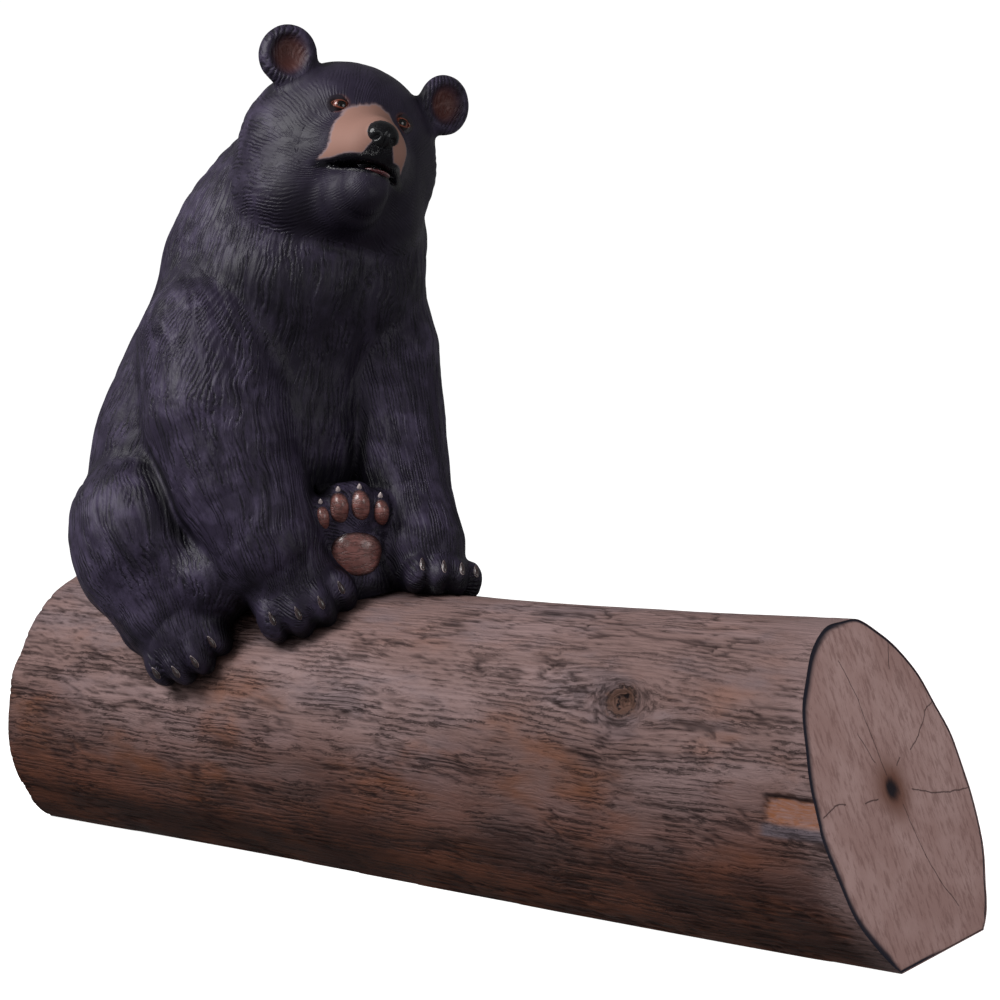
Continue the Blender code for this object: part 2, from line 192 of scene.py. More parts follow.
def joined(shapes):  # several (points, faces, notes) as one
    points, faces, notes = [], [], []
    for some, few, note in shapes:
        faces += [[n + len(points) for n in face] for face in few]
        points += [tuple(p) for p in some]
        notes += list(note)
    return points, faces, np.array(notes)


def band(first, second):  # the faces between two rings of points; a ring may also be one point over and over
    faces = []
    for n in range(len(first)):
        m = (n + 1) % len(first)
        face = (first[n], first[m], second[m], second[n])
        faces.append([p for i, p in enumerate(face) if p != face[i - 1]])
    return faces


def bands(rings):
    return [face for a, b in zip(rings, rings[1:]) for face in band(a, b)]


# The form of the log and the bear, in the same words as the solids

log = {
    "halfLength": (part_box("tree_trunk")[1][0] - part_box("tree_trunk")[0][0]) / 2,
    "halfWidth": 0.226, "halfHeight": 0.241, "axisHeight": 0.199,  # the oval section
    "rakedEnd": math.tan(math.radians(19.9)), "plainEnd": math.tan(math.radians(3.8)),
}
bear = {
    "height": 0.93, "seatX": -0.45, "facing": 58.0,
    "headAt": (18, 14.1, 77.8), "headPitch": 3.0, "headRoll": 14.5,
}
share = bear["height"] / 100  # the bear's masses are in hundredths of its height


def frameOf(facing, pitch=0.0, roll=0.0):  # columns are forward, left and up
    turn = Matrix.Rotation(math.radians(facing - 90), 3, "Z")
    nod = Matrix.Rotation(math.radians(-pitch), 3, "Y")
    lean = Matrix.Rotation(math.radians(-roll), 3, "X")
    return np.array(turn @ nod @ lean)


def onBark(along, roundDeg, lift=0.0):  # the angle runs from the top down the front
    angle = math.radians(roundDeg)
    y = -(log["halfWidth"] + lift) * math.sin(angle)
    return np.array((along, y, log["axisHeight"] + (log["halfHeight"] + lift) * math.cos(angle)))


def outOfBark(roundDeg):
    angle = math.radians(roundDeg)
    return unit((0, -math.sin(angle) / log["halfWidth"], math.cos(angle) / log["halfHeight"]))


seat = onBark(bear["seatX"], 0)
bodyFrame = frameOf(bear["facing"])
headFrame = frameOf(bear["facing"], bear["headPitch"], bear["headRoll"])
soleFrame = frameOf(47, 0, -4)


def spot(forward, left, up):
    return seat + bodyFrame @ np.array((forward, left, up)) * share


headCentre = spot(*bear["headAt"])
soleCentre = spot(29.5, 10.6, 8.6)


def headSpot(forward, left, up):
    return headCentre + headFrame @ np.array((forward, left, up)) * share


def soleSpot(forward, left, up):
    return soleCentre + soleFrame @ np.array((forward, left, up)) * share


def pawFrame(roundDeg, facing):  # lying on the bark
    up, along = outOfBark(roundDeg), np.array((1.0, 0, 0))
    angle = math.radians(facing)
    forward = along * math.cos(angle) + np.cross(up, along) * math.sin(angle)
    return np.array((forward, np.cross(up, forward), up)).T


paws = {  # along the bark from the seat, degrees round it, lift, facing, then length, width and height
    "right_front": (23.5, 28, 3.2, -38, (8.6, 8.6, 5.6)),
    "right_hind": (3.8, 50, 3.6, -52, (9.4, 7.8, 5.4)),
    "left_front": (39.2, -10.5, 2.6, -30, (7.4, 6.8, 4.6)),
}
pawPlaces = {  # each paw's middle, frame and size
    name: (onBark(bear["seatX"] + along * share, roundDeg, lift * share), pawFrame(roundDeg, facing), size)
    for name, (along, roundDeg, lift, facing, size) in paws.items()
}
toeLook = {  # in shares of the paw's length, width and height
    "size": (0.40, 0.29, 0.72), "reach": 0.52, "arc": 0.26, "spread": 0.74, "drop": 0.12,
}


def toeSpots(centre, axes, size):  # the middle of each toe of a paw
    length, width, height = size
    for n in range(4):
        side = n / 1.5 - 1
        ahead = toeLook["reach"] + toeLook["arc"] * (1 - side**2)
        local = np.array((length * ahead, side * width * toeLook["spread"], -toeLook["drop"] * height))
        yield centre + axes @ local * share


class Egg:  # an egg-shaped mass
    def __init__(self, centre, radii, axes=bodyFrame, turn=(0, 0, 0)):
        tilt = Matrix.Identity(3)
        for axis, degrees in zip("XYZ", turn):
            tilt = Matrix.Rotation(math.radians(degrees), 3, axis) @ tilt
        self.centre, self.radii, self.axes = np.array(centre), np.array(radii) * share, axes @ np.array(tilt)

    def away(self, points):
        local = (points - self.centre) @ self.axes
        near = np.linalg.norm(local / self.radii, axis=1)
        steep = np.linalg.norm(local / self.radii**2, axis=1)
        return near * (near - 1) / np.maximum(steep, 1e-9)

    def reach(self):
        return self.centre - self.radii.max(), self.centre + self.radii.max()


class Limb:  # a chain of round stretches that taper
    def __init__(self, *stations):
        self.points = [np.array(p) for p, _ in stations]
        self.radii = [r * share for _, r in stations]

    def away(self, points):
        found = np.full(len(points), 9.0)
        for a, b, ra, rb in zip(self.points, self.points[1:], self.radii, self.radii[1:]):
            way = b - a
            along = np.clip((points - a) @ way / (way @ way), 0, 1)
            gap = np.linalg.norm(points - a - along[:, None] * way, axis=1) - (ra + along * (rb - ra))
            found = np.minimum(found, gap)
        return found

    def reach(self):
        most = max(self.radii)
        return np.min(self.points, axis=0) - most, np.max(self.points, axis=0) + most


def melt(a, b, reach):
    t = np.clip(0.5 + 0.5 * (b - a) / reach, 0, 1)
    return b + (a - b) * t - reach * t * (1 - t)


def scoop(a, b, reach):
    return -melt(-a, b, reach)


class Group:  # masses that melt together, with how their fur is combed, how deep it is and its strands
    def __init__(self, piece, reach, seam, masses, lay=(0, 0, 1), fur=1.0, strands=60, twist=0.0):
        self.piece, self.reach, self.seam, self.masses = piece, reach * share, seam * share, masses
        self.lay, self.fur, self.strands, self.twist = unit(bodyFrame @ np.array(lay)), fur, strands, twist
        low, high = zip(*[mass.reach() for mass in masses])
        self.middle = (np.min(low, axis=0) + np.max(high, axis=0)) / 2
        self.low, self.high = np.min(low, axis=0) - 0.06, np.max(high, axis=0) + 0.06

    def away(self, points):
        near = np.all((points > self.low) & (points < self.high), axis=1)
        found, some = np.full(len(points), 9.0), points[near]
        if len(some):
            value = self.masses[0].away(some)
            for mass in self.masses[1:]:
                value = melt(value, mass.away(some), self.reach)
            found[near] = value
        return found


def pawGroup(name, seam, lay):
    centre, axes, size = pawPlaces[name]
    radii = np.array(size) * toeLook["size"]
    toes = [Egg(p, radii, axes) for p in toeSpots(centre, axes, size)]
    piece = "bear_legs" if "hind" in name else "bear_arms"
    return Group(piece, 1.0, seam, [Egg(centre, size, axes), *toes], lay, 0.3)


def headEgg(at, radii, turn=(0, 0, 0)):
    return Egg(headSpot(*at), radii, headFrame, turn)


def headPair(at, radii):  # one on each side
    forward, left, up = at
    return [headEgg((forward, left * side, up), radii) for side in (1, -1)]


def headLimb(*stations):
    return Limb(*[(headSpot(*at), radius) for at, radius in stations])


soleToes = ((5.2, 4.8, 1.9), (1.7, 6.6, 2.0), (-2.0, 6.5, 2.0), (-5.2, 4.6, 1.8))  # left, up, width
pawAt = {name: place[0] for name, place in pawPlaces.items()}
ears = ((15.2, 10.7, 14), (-14.2, 11.1, -14))  # left, up and the turn outward
groups = [
    Group("bear_body", 7, 0.01, [
        Egg(spot(-4, -3, 14), (20, 25, 19)), Egg(spot(-4, -5, 25), (16, 22, 20)),
        Egg(spot(6, 3, 25), (18, 18, 19)), Egg(spot(-2, -2, 40), (16, 18, 17)),
        Egg(spot(8, 6, 38), (14, 15, 16)), Egg(spot(9, 9, 53), (17, 21, 16)),
        Egg(spot(-1, 0, 57), (13, 14.5, 13)), Egg(spot(2, 4, 66), (13, 13.5, 12)),
        Egg(spot(8, 12.5, 63), (14, 18.5, 12)), Egg(spot(7, 9, 73), (12, 12, 10)),
    ], (0.14, 0.12, 1), 1.0, 160),
    Group("bear_legs", 4, 2.0, [
        Egg(spot(3, -20.5, 9), (16, 13, 14.5)), Egg(spot(15, -11, 2), (11, 9, 8)),
        Limb((spot(7, -20, 3), 11.5), (spot(11, -17.5, -4), 9.6), (pawAt["right_hind"], 7.4)),
    ], (-0.5, -0.14, 0.86), 1.0, 100, 6.0),
    Group("bear_legs", 2, 1.6, [
        Egg(soleSpot(-3.6, 0, 0), (4.6, 7.0, 9.8), soleFrame),
        Egg(soleSpot(-4.5, 0.6, -7.5), (6.0, 7.0, 5.5), soleFrame), Egg(spot(13, 14, 7.5), (16, 10, 10)),
        Egg(spot(20.5, 18.5, 1.5), (9, 7, 5.5)),
        Limb((soleSpot(-6, 0, -2), 6.4), (spot(12, 10, 9), 10.5)),
        *[Egg(soleSpot(-2.0, left, up), (3.6, width, 2.9), soleFrame) for left, up, width in soleToes],
    ], (1, 0, 0.1), 0.35, 70),
    Group("bear_arms", 4, 1.8, [
        Limb((spot(7, -6, 47), 12.0), (spot(9, -7.6, 42), 14.0), (spot(14, -8.5, 30), 13.6),
             (spot(19, -6.5, 18), 12.0), (spot(24, -3.2, 8), 10.0), (pawAt["right_front"], 7.2)),
    ], (-0.4, -0.07, 0.92), 1.0, 100, 20.0),
    Group("bear_arms", 4, 1.8, [
        Limb((spot(8, 20, 50), 11.0), (spot(11, 21.8, 41), 10.8), (spot(16, 22.8, 28), 9.2),
             (spot(22, 23, 15), 8.0), (spot(28, 23.8, 7), 7.4), (pawAt["left_front"], 5.4)),
    ], (-0.42, -0.08, 0.9), 0.9, 84),
    pawGroup("right_front", 1.8, (0.7, 0.2, -0.4)),
    pawGroup("right_hind", 1.8, (0.6, 0.1, -0.7)),
    pawGroup("left_front", 1.6, (0.8, 0, -0.3)),
    Group("bear_head", 3.6, 2.0, [
        headEgg((-1.5, 0, 3.4), (13.5, 13.5, 10.4)), headEgg((4.5, 0, 3.8), (6.0, 8.6, 5.4)),
        headEgg((-3, 0, -10.5), (13, 13.5, 10.5)), headLimb(((5, 0, -0.8), 5.6), ((18.2, 0, -2.2), 3.6)),
        *headPair((-4, 8, -3), (11, 10, 12.5)), *headPair((-3, 7.5, -12.5), (11.5, 9, 8)),
        *headPair((3.5, 6.2, -4.8), (7.0, 6.0, 8.0)),  # soften the muzzle's foot
        *headPair((10, 2.8, -3.4), (7.5, 4.4, 4.6)),
        *[headLimb(((9.5, 4.4 * s, -5.4), 3.4), ((18.0, 2.0 * s, -4.6), 2.6)) for s in (1, -1)],
    ], fur=0.6),
    Group("bear_head", 1.2, 2.2, [
        headLimb(((5, 0, -12), 6.4), ((11, 0, -11.6), 5.6), ((15.4, 0.4, -10.9), 4.2)),
    ], fur=0.5),
    *[Group("bear_head", 0.5, 2.2, [headEgg((2, left, up), (2.6, 5.0, 5.3), (0, 0, out))], fur=0.3)
      for left, up, out in ears],
    Group("bear_head", 0.5, 0.5, [headEgg((20.9, 0, -2.1), (1.9, 2.7, 2.3))]),
]
soleGroup, headGroups, earGroups, noseGroup = 2, [8, 9, 10, 11, 12], [10, 11], 12  # their numbers in the list
mouth = Group("bear_head", 0.6, 0.6, [headEgg((16, 0, -7.5), (7.5, 6.6, 0.55), (0, -4, 0))])
earCups = Group("bear_head", 0.5, 0.8, [
    headEgg((4.6, left * 1.02, up - 0.1), (2.4, 3.5, 3.9), (0, 0, out)) for left, up, out in ears
])
eyes = {}  # each eye's middle and radius, from its solid
for name in ("left_eye", "right_eye"):
    low, high = [np.array(corner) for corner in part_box(name)]
    eyes[name] = ((low + high) / 2, (high[2] - low[2]) / 2)


def outsideLog(points):
    y, z = points[:, 1] / log["halfWidth"], (points[:, 2] - log["axisHeight"]) / log["halfHeight"]
    near, steep = np.hypot(y, z), np.hypot(y / log["halfWidth"], z / log["halfHeight"])
    return near * (near - 1) / np.maximum(steep, 1e-9)


skin = {
    "grain": 0.0026, "rounds": 7, "step": 0.004, "shouldersFrom": 38, "sunkInBark": 0.007,
    "eyeSocket": 1.02, "socketSeam": 0.0006, "barkSeam": 0.002, "shadeReaches": (0.018, 0.045, 0.10),
}


def outsideBear(points):  # how far each point is outside the skin
    found = np.full(len(points), 9.0)
    for group in groups:
        found = melt(found, group.away(points), group.seam)
    for group in (mouth, earCups):
        found = scoop(found, group.away(points), group.seam)
    for centre, radius in eyes.values():
        fromEye = np.linalg.norm(points - centre, axis=1)
        found = scoop(found, fromEye - skin["eyeSocket"] * radius, skin["socketSeam"])
    return scoop(found, outsideLog(points) + skin["sunkInBark"], skin["barkSeam"])


def occluded(points, facing):  # how much painted shade a point gets: 0 in the open, towards 1 deep between masses or close over the log
    found = np.zeros(len(points))
    for far in skin["shadeReaches"]:
        ahead = points + facing * far
        gap = np.minimum(outsideBear(ahead), outsideLog(ahead))
        found += np.clip(1 - gap / far, 0, 1) / len(skin["shadeReaches"])
    return found


def metBy(group, points, way):  # where lines from outside the group first meet it
    points = np.array(points, float)
    for _ in range(40):
        points += 0.8 * group.away(points)[:, None] * way
    return points


print("stage: form set out")


# The paints of the fur, the bark and the sawn ends: what a user would change, then the nodes

furLook = {
    "shadow": (0.0026, 0.0020, 0.0044), "fur": (0.0220, 0.0162, 0.0330), "worn": (0.044, 0.034, 0.064),
    "calm": (0.0175, 0.0135, 0.0260), "tan": (0.245, 0.132, 0.105), "tanEdge": (0.31, 0.24, 0.26),
    "lip": (0.005, 0.0045, 0.007), "ear": (0.072, 0.024, 0.021), "earPale": (0.17, 0.088, 0.082),
    "hairs": 170.0, "gaps": 58.0, "patches": 9.0, "wear": 26.0,  # how fine each cloud is
    "wander": 8.0, "strandDepth": 0.0019,
}


def furPaint(look=furLook):
    paint = Paint("painted_fur", Specular_IOR_Level=0.17)
    stroke, comb = paint.told("stroke"), paint.told("comb", "Fac")
    tan, wet, red = paint.parts(paint.told("tone"))
    hollow, crease, calm = paint.parts(paint.told("carving"))
    ahead, aside, count = paint.parts(paint.told("turn"))
    hairs = paint.cloud(stroke, look["hairs"], 3.0, 0.6)
    phase = paint.sum("ARCTAN2", aside, ahead) * count + comb + (hairs - 0.5) * look["wander"]
    wave = paint.sum("SINE", phase)
    often = paint.between(paint.cloud(stroke, look["gaps"], 3.0, 0.6), 0.42, 0.58, 0.06, 1.0)
    groove = paint.between(wave, -0.35, -0.95) * often
    hairline = 1 - paint.between(abs(hairs - 0.5), 0.0, 0.03)
    patches = paint.cloud(paint.place(), look["patches"], 3.0)
    worn = paint.between(paint.cloud(paint.place(), look["wear"], 3.0), 0.42, 0.64)
    ear = paint.mix(paint.between(hairs, 0.45, 0.75) * 0.5, look["ear"], look["earPale"])
    rim = tan * (1 - tan) * 2.6 + paint.between(patches, 0.5, 0.75) * 0.35
    # painted shade: the grooves, hair lines, tuft hollows and creases, and the creases in the ear cups, go
    # towards the shadow colour
    colour = paint.layered(
        paint.mix(worn, look["fur"], look["worn"]),
        (calm * 0.7, look["calm"]),
        (groove * (0.85 - 0.6 * calm), look["shadow"]),
        (hairline * (0.35 - 0.2 * calm), look["shadow"]),
        (hollow * 0.45, look["shadow"]),
        (crease * 0.92, look["shadow"]),
        (red, paint.mix(crease * 0.6, ear, look["shadow"])),
        (tan, paint.mix(rim, look["tan"], look["tanEdge"])),
        (wet, look["lip"]))
    rough = 0.45 + 0.10 * paint.between(patches, 0.35, 0.7) + tan * 0.2
    height = (wave * often * 0.40 + hairs * 0.7) * (1 - calm * 0.7) * (1 - tan)
    return paint.dressed(colour, rough * (1 - wet) + wet * 0.2, height, look["strandDepth"], 0.9)


barkLook = {
    "base": (0.200, 0.125, 0.116), "pale": (0.240, 0.160, 0.156), "rust": (0.235, 0.090, 0.044),
    "cool": (0.155, 0.115, 0.124), "low": (0.052, 0.017, 0.011), "lowRust": (0.120, 0.036, 0.016),
    "valley": (0.022, 0.011, 0.011), "bareWood": (0.25, 0.142, 0.125), "knotEdge": (0.15, 0.072, 0.045),
    "knotHole": (0.010, 0.006, 0.008), "lip": (0.115, 0.095, 0.115),
    "darkBelow": (0.06, 0.33), "paleCut": 0.055, "wrinkleDepth": 0.0030,
    "ridges": 34.0, "fibres": 330.0, "lines": 165.0, "bend": 24.0, "ravel": 9.0,
}
knot = {"along": 0.427, "round": 55.7, "radius": 0.024, "depth": 0.011, "lip": 0.003}
notch = {"from": 0.676, "round": 85.5, "halfRound": 4.4, "depth": 0.0055, "z": (0.199, 0.236)}


def barkPaint(look=barkLook):
    paint = Paint("painted_bark", Specular_IOR_Level=0.14)
    place, grain = paint.place(), paint.told("grain")
    x, y, z = paint.parts(place)
    crack, shade, bare = paint.parts(paint.told("bark"))
    ridges = paint.cloud(grain, look["ridges"], 3.0, 0.55)
    fibres = paint.cloud(grain, look["fibres"], 4.0, 0.65)
    phase = paint.told("lines", "Fac") * look["lines"] + ridges * look["bend"] + fibres * look["ravel"]
    wave = paint.sum("SINE", phase)
    often = paint.cloud(paint.stretched(place, (0.35, 1, 1)), 24.0, 4.0, 0.65)
    often = paint.between(often + paint.between(z, 0.42, 0.30, -0.04, 0.03), 0.45, 0.60)
    valley = paint.between(wave, -0.62, -0.98) * (0.10 + 0.90 * often)
    valley = valley * paint.between(z, 0.41, 0.27, 0.5, 1.0)
    thin = (1 - paint.between(abs(fibres - 0.5), 0.0, 0.03)) * (0.3 + 0.7 * often)
    blotch = paint.cloud(paint.stretched(place, (0.5, 1, 1)), 6.5, 3.0, 0.55)
    cool = paint.cloud(paint.stretched(place, (0.4, 1, 1)), 14.0, 4.0, 0.6)
    rusty = paint.cloud(paint.stretched(place, (0.5, 1.1, 1.1)), 8.5, 4.0, 0.6)
    rusty = paint.between(rusty, 0.50, 0.70) * paint.between(z, 0.40, 0.22, 0.3, 1.0)
    # darker towards the bottom: partly the log's own darker paint, partly painted shade
    low = paint.between(z + (blotch - 0.5) * 0.16, look["darkBelow"][1], look["darkBelow"][0])
    fromMiddle = x + z * log["rakedEnd"] + (fibres - 0.5) * 0.05
    nearCut = paint.between(fromMiddle, log["halfLength"] - look["paleCut"], log["halfLength"])
    knotAt = tuple(onBark(knot["along"], knot["round"], -0.004))
    broken = paint.cloud(place, 90.0, 3.0, 0.6)
    fromKnot = paint.vector("DISTANCE", place, knotAt, "Value")
    fromKnot = (fromKnot + (broken - 0.5) * 0.034) / knot["radius"]
    ring = paint.between(abs(fromKnot - 0.98), 0.12, 0.03) * paint.between(broken, 0.42, 0.52)
    along = x + (fibres - 0.5) * 0.006
    inNotch = paint.between(along, notch["from"] - 0.010, notch["from"] + 0.004)
    inNotch = inNotch * paint.between(y, 0.0, -0.02)
    under = notch["z"][0] - z + (ridges - 0.5) * 0.010  # how far below the bare patch
    over = z - notch["z"][1] + (ridges - 0.5) * 0.006
    base = paint.between(blotch + (ridges - 0.5) * 0.5, 0.42, 0.66)
    colour = paint.layered(
        paint.mix(base, look["base"], look["pale"]),
        (paint.between(cool, 0.48, 0.66) * 0.6, look["cool"]),
        (rusty * 0.8, look["rust"]),
        (low * 0.92, paint.mix(paint.between(cool, 0.40, 0.60), look["low"], look["lowRust"])),
        (nearCut * 0.75, look["pale"]),
        (bare, paint.mix(paint.between(fibres, 0.3, 0.7), look["rust"], look["bareWood"])),
        (paint.between(fromKnot, 1.25, 0.7) * 0.75, look["knotEdge"]),
        (ring * 0.8, look["knotHole"]),
        (paint.between(fromKnot, 0.50, 0.30), look["knotHole"]),
        (valley * 0.72 * (1 - bare), look["valley"]),
        (thin * 0.4 * (1 - bare), look["valley"]),
        # painted highlight along the lower lip of the bare patch, painted shadow under its upper bank
        (inNotch * paint.between(abs(under - 0.010), 0.011, 0.005) * 0.8, look["lip"]),
        (inNotch * paint.between(abs(over), 0.005, 0.001) * 0.9, look["valley"]),
        # the cracks, with the painted shade on the bank of the bare patch
        (crack * 0.8, look["valley"]),
        (shade, look["valley"]))
    height = (wave * (0.06 + 0.16 * often) - valley * 0.5 + fibres * 0.8) * (1 - bare * 0.7)
    return paint.dressed(colour, paint.between(blotch, 0.3, 0.7, 0.75, 0.55), height, look["wrinkleDepth"])


endLook = {
    "base": (0.345, 0.210, 0.192), "pale": (0.43, 0.28, 0.262), "streak": (0.200, 0.108, 0.096),
    "pith": (0.010, 0.006, 0.010), "halo": (0.125, 0.044, 0.024), "check": (0.030, 0.014, 0.015),
    "rim": (0.010, 0.009, 0.018), "pithSize": 0.018, "haloSize": 0.060,
    "checkWidth": 0.0016, "checkWander": 0.009, "streakDepth": 0.0012,
}
pith = {"y": -0.002, "z": 0.215}  # the same height in both ends
endChecks = (  # each thin check in the sawn end, from y and z to y and z
    (-0.006, 0.235, -0.015, 0.286), (-0.015, 0.286, -0.020, 0.338), (-0.020, 0.338, -0.040, 0.394),
    (0.030, 0.242, 0.046, 0.251), (0.081, 0.255, 0.120, 0.270), (0.120, 0.270, 0.162, 0.299),
    (0.162, 0.299, 0.190, 0.306), (0.050, 0.205, 0.128, 0.188), (0.128, 0.188, 0.215, 0.180),
    (-0.051, 0.209, -0.088, 0.211), (-0.141, 0.218, -0.168, 0.220), (-0.168, 0.220, -0.205, 0.213),
    (0.012, 0.191, 0.029, 0.121), (0.029, 0.121, 0.049, 0.084), (0.049, 0.084, 0.077, 0.045),
    (0.116, 0.400, 0.095, 0.366), (-0.050, 0.295, -0.027, 0.255),
)


def checksIn(paint, place):  # 1 on the line of any check
    noisy = paint.node("ShaderNodeTexNoise", None, {"Vector": place, "Scale": 32.0, "Detail": 3.0}, "Color")
    most = endLook["checkWander"]
    wander = paint.stretched(paint.vector("SUBTRACT", noisy, (0.5, 0.5, 0.5)), (0, most, most))
    point = paint.stretched(paint.vector("ADD", wander, place), (0, 1, 1))
    found = 0.0
    for ya, za, yb, zb in endChecks:
        way = np.array((0, yb - ya, zb - za))
        fromStart = paint.vector("SUBTRACT", point, (0, ya, za))
        along = paint.vector("DOT_PRODUCT", fromStart, tuple(way), "Value")
        clamped = {"operation": "DIVIDE", "use_clamp": True}
        part = paint.node("ShaderNodeMath", clamped, {0: along, 1: float(way @ way)})
        foot = paint.node("ShaderNodeVectorMath", {"operation": "SCALE"}, {0: tuple(way), "Scale": part})
        off = paint.vector("DISTANCE", fromStart, foot, "Value")
        found = paint.between(off, endLook["checkWidth"], 0.0) + found
    return paint.sum("MINIMUM", found, 1.0)


def endPaint(look=endLook):
    paint = Paint("sawn_end", Specular_IOR_Level=0.18)
    place = paint.place()
    rim = paint.parts(paint.told("bark"))[1]
    y, z = paint.parts(place)[1:]
    streak = paint.cloud(paint.stretched(place, (1.0, 1.0, 0.12)), 110.0, 5.0, 0.7)
    soft = paint.cloud(place, 9.0, 4.0, 0.6)
    flat = paint.node("ShaderNodeCombineXYZ", None, {"Y": (y - pith["y"]) * 0.85, "Z": z - pith["z"]})
    away = paint.vector("LENGTH", flat, output="Value") + (streak - 0.5) * 0.012
    core = 0.4 * look["pithSize"]
    checks = checksIn(paint, place)
    colour = paint.layered(
        paint.mix(paint.between(soft, 0.35, 0.68), look["base"], look["pale"]),
        (paint.between(streak, 0.46, 0.64) * 0.6, look["streak"]),
        (paint.between(away, look["haloSize"], core) * 0.9, look["halo"]),
        (paint.between(away, 1.2 * look["pithSize"], core), look["pith"]),
        (checks * 0.8, look["check"]),
        (rim, look["rim"]))
    rough = paint.between(soft, 0.3, 0.7, 0.72, 0.58)
    return paint.dressed(colour, rough, streak - checks * 0.8, look["streakDepth"], 0.8)


# The log: one closed mesh, its bark a grid round the oval and its ends rings about the pith

logMesh = {
    "rings": 180, "sides": 400, "endRings": 30,
    "crackPitch": 0.0125, "crackStretch": 9.0, "crackDepth": 0.0020,
    "ridgePitch": 0.030, "ridgeHeight": 0.0018, "shadeReach": 0.026, "calmEnd": 0.014,
    "sunk": 0.001, "rimDepth": 0.0018, "pithDepth": 0.004,
}


def swell(along, angle):  # how far the log stands out of a true oval, as in its solid
    slow = 0.0035 * np.sin(3 * angle + 4.0 * along) + 0.0030 * np.sin(2 * angle - 2.3 * along + 1.0)
    quick = np.sin(11 * angle + 1.6 * np.sin(5 * along)) + 0.6 * np.sin(17 * angle - 4 * along)
    return slow + 0.00144 * quick


def ringPlaces():  # closer together at the knot and the notch
    t = np.linspace(0, 1, 4001)
    x = (t - 0.5) * 2 * log["halfLength"]
    dense = 1 + 2.4 * np.exp(-((x - knot["along"]) / 0.05) ** 2) + 1.6 * ease(x, 0.60, 0.66)
    count = np.cumsum(dense)
    done = (count - count[0]) / (count[-1] - count[0])
    return np.interp(np.linspace(0, 1, logMesh["rings"]), done, t)


# The points pressed short along the log and wound round the knot, so that soft noise turns to bark
def barkGrain(points):
    toKnot = points - onBark(knot["along"], knot["round"])
    far = np.linalg.norm(toKnot * (0.85, 1, 1), axis=1)
    near = np.exp(-(far / (0.95 * knot["radius"])) ** 2)[:, None]
    space = points * (1 / logMesh["crackStretch"], 1, 1) + 0.012 * drift(points, 0.10, 3.1)
    space += 0.003 * drift(points, 0.025, 9.4)
    wound = far[:, None] * np.array((0.0, 0.5, 0.9)) + 0.25 * toKnot + 0.004 * drift(points, 0.02, 6.6)
    return space * (1 - near) + near * wound


# The angle round the log, bent so that its level lines pass on each side of the knot
def barkLines(points, roundDeg):
    angle = np.radians(roundDeg - knot["round"])
    near = (1.5 * knot["radius"]) ** 2
    far = (0.7 * (points[:, 0] - knot["along"])) ** 2 + (angle * log["halfHeight"]) ** 2
    return angle * far / (far + near)


# The carved height of the bark, how dark each point is painted (in a crack, or with painted shade on the bank
# of the bare patch), and the bare wood
def barkHeight(points, grain, roundDeg):
    line = np.abs(ripple(grain, logMesh["crackPitch"], 1.3))
    where = ease(ripple(points * (0.5, 1, 1), 0.06, 8.8), -0.25, 0.2)
    crack = (1 - ease(line, 0.0, 0.16)) * (0.15 + 0.85 * where)
    ridge = ripple(grain, logMesh["ridgePitch"], 5.2)
    fromKnot = np.linalg.norm(points - onBark(knot["along"], knot["round"]), axis=1) / knot["radius"]
    around = ripple(points, 0.014, 2.2) * 0.18
    crater = 1 - ease(fromKnot + around, 0.15, 0.75)
    lip = np.exp(-((fromKnot + around - 1.1) / 0.30) ** 2)
    along = points[:, 0] + 0.004 * ripple(points, 0.01, 4.4)
    bare = ease(along, notch["from"] - 0.003, notch["from"] + 0.003)
    off = np.abs(roundDeg - notch["round"]) + 1.2 * ripple(points, 0.012, 6.1)
    bare *= 1 - ease(off, notch["halfRound"] - 0.8, notch["halfRound"] + 0.8)
    height = (logMesh["ridgeHeight"] * ridge - logMesh["crackDepth"] * crack) * (1 - bare)
    height += knot["lip"] * lip - knot["depth"] * crater - bare * notch["depth"]
    fromEnd = log["halfLength"] - log["rakedEnd"] * points[:, 2] - points[:, 0]
    height *= ease(fromEnd, 0.0, logMesh["calmEnd"]) * 0.8 + 0.2
    above = ease(notch["round"] - roundDeg, 0, 3)  # painted shade on the bank of the bare patch, dark above where the bark overhangs it and grey below
    dark = crack * (1 - bare) + bare * (1 - bare) * (1.5 + 2.5 * above)
    return height - logMesh["sunk"], np.clip(dark, 0, 1), bare


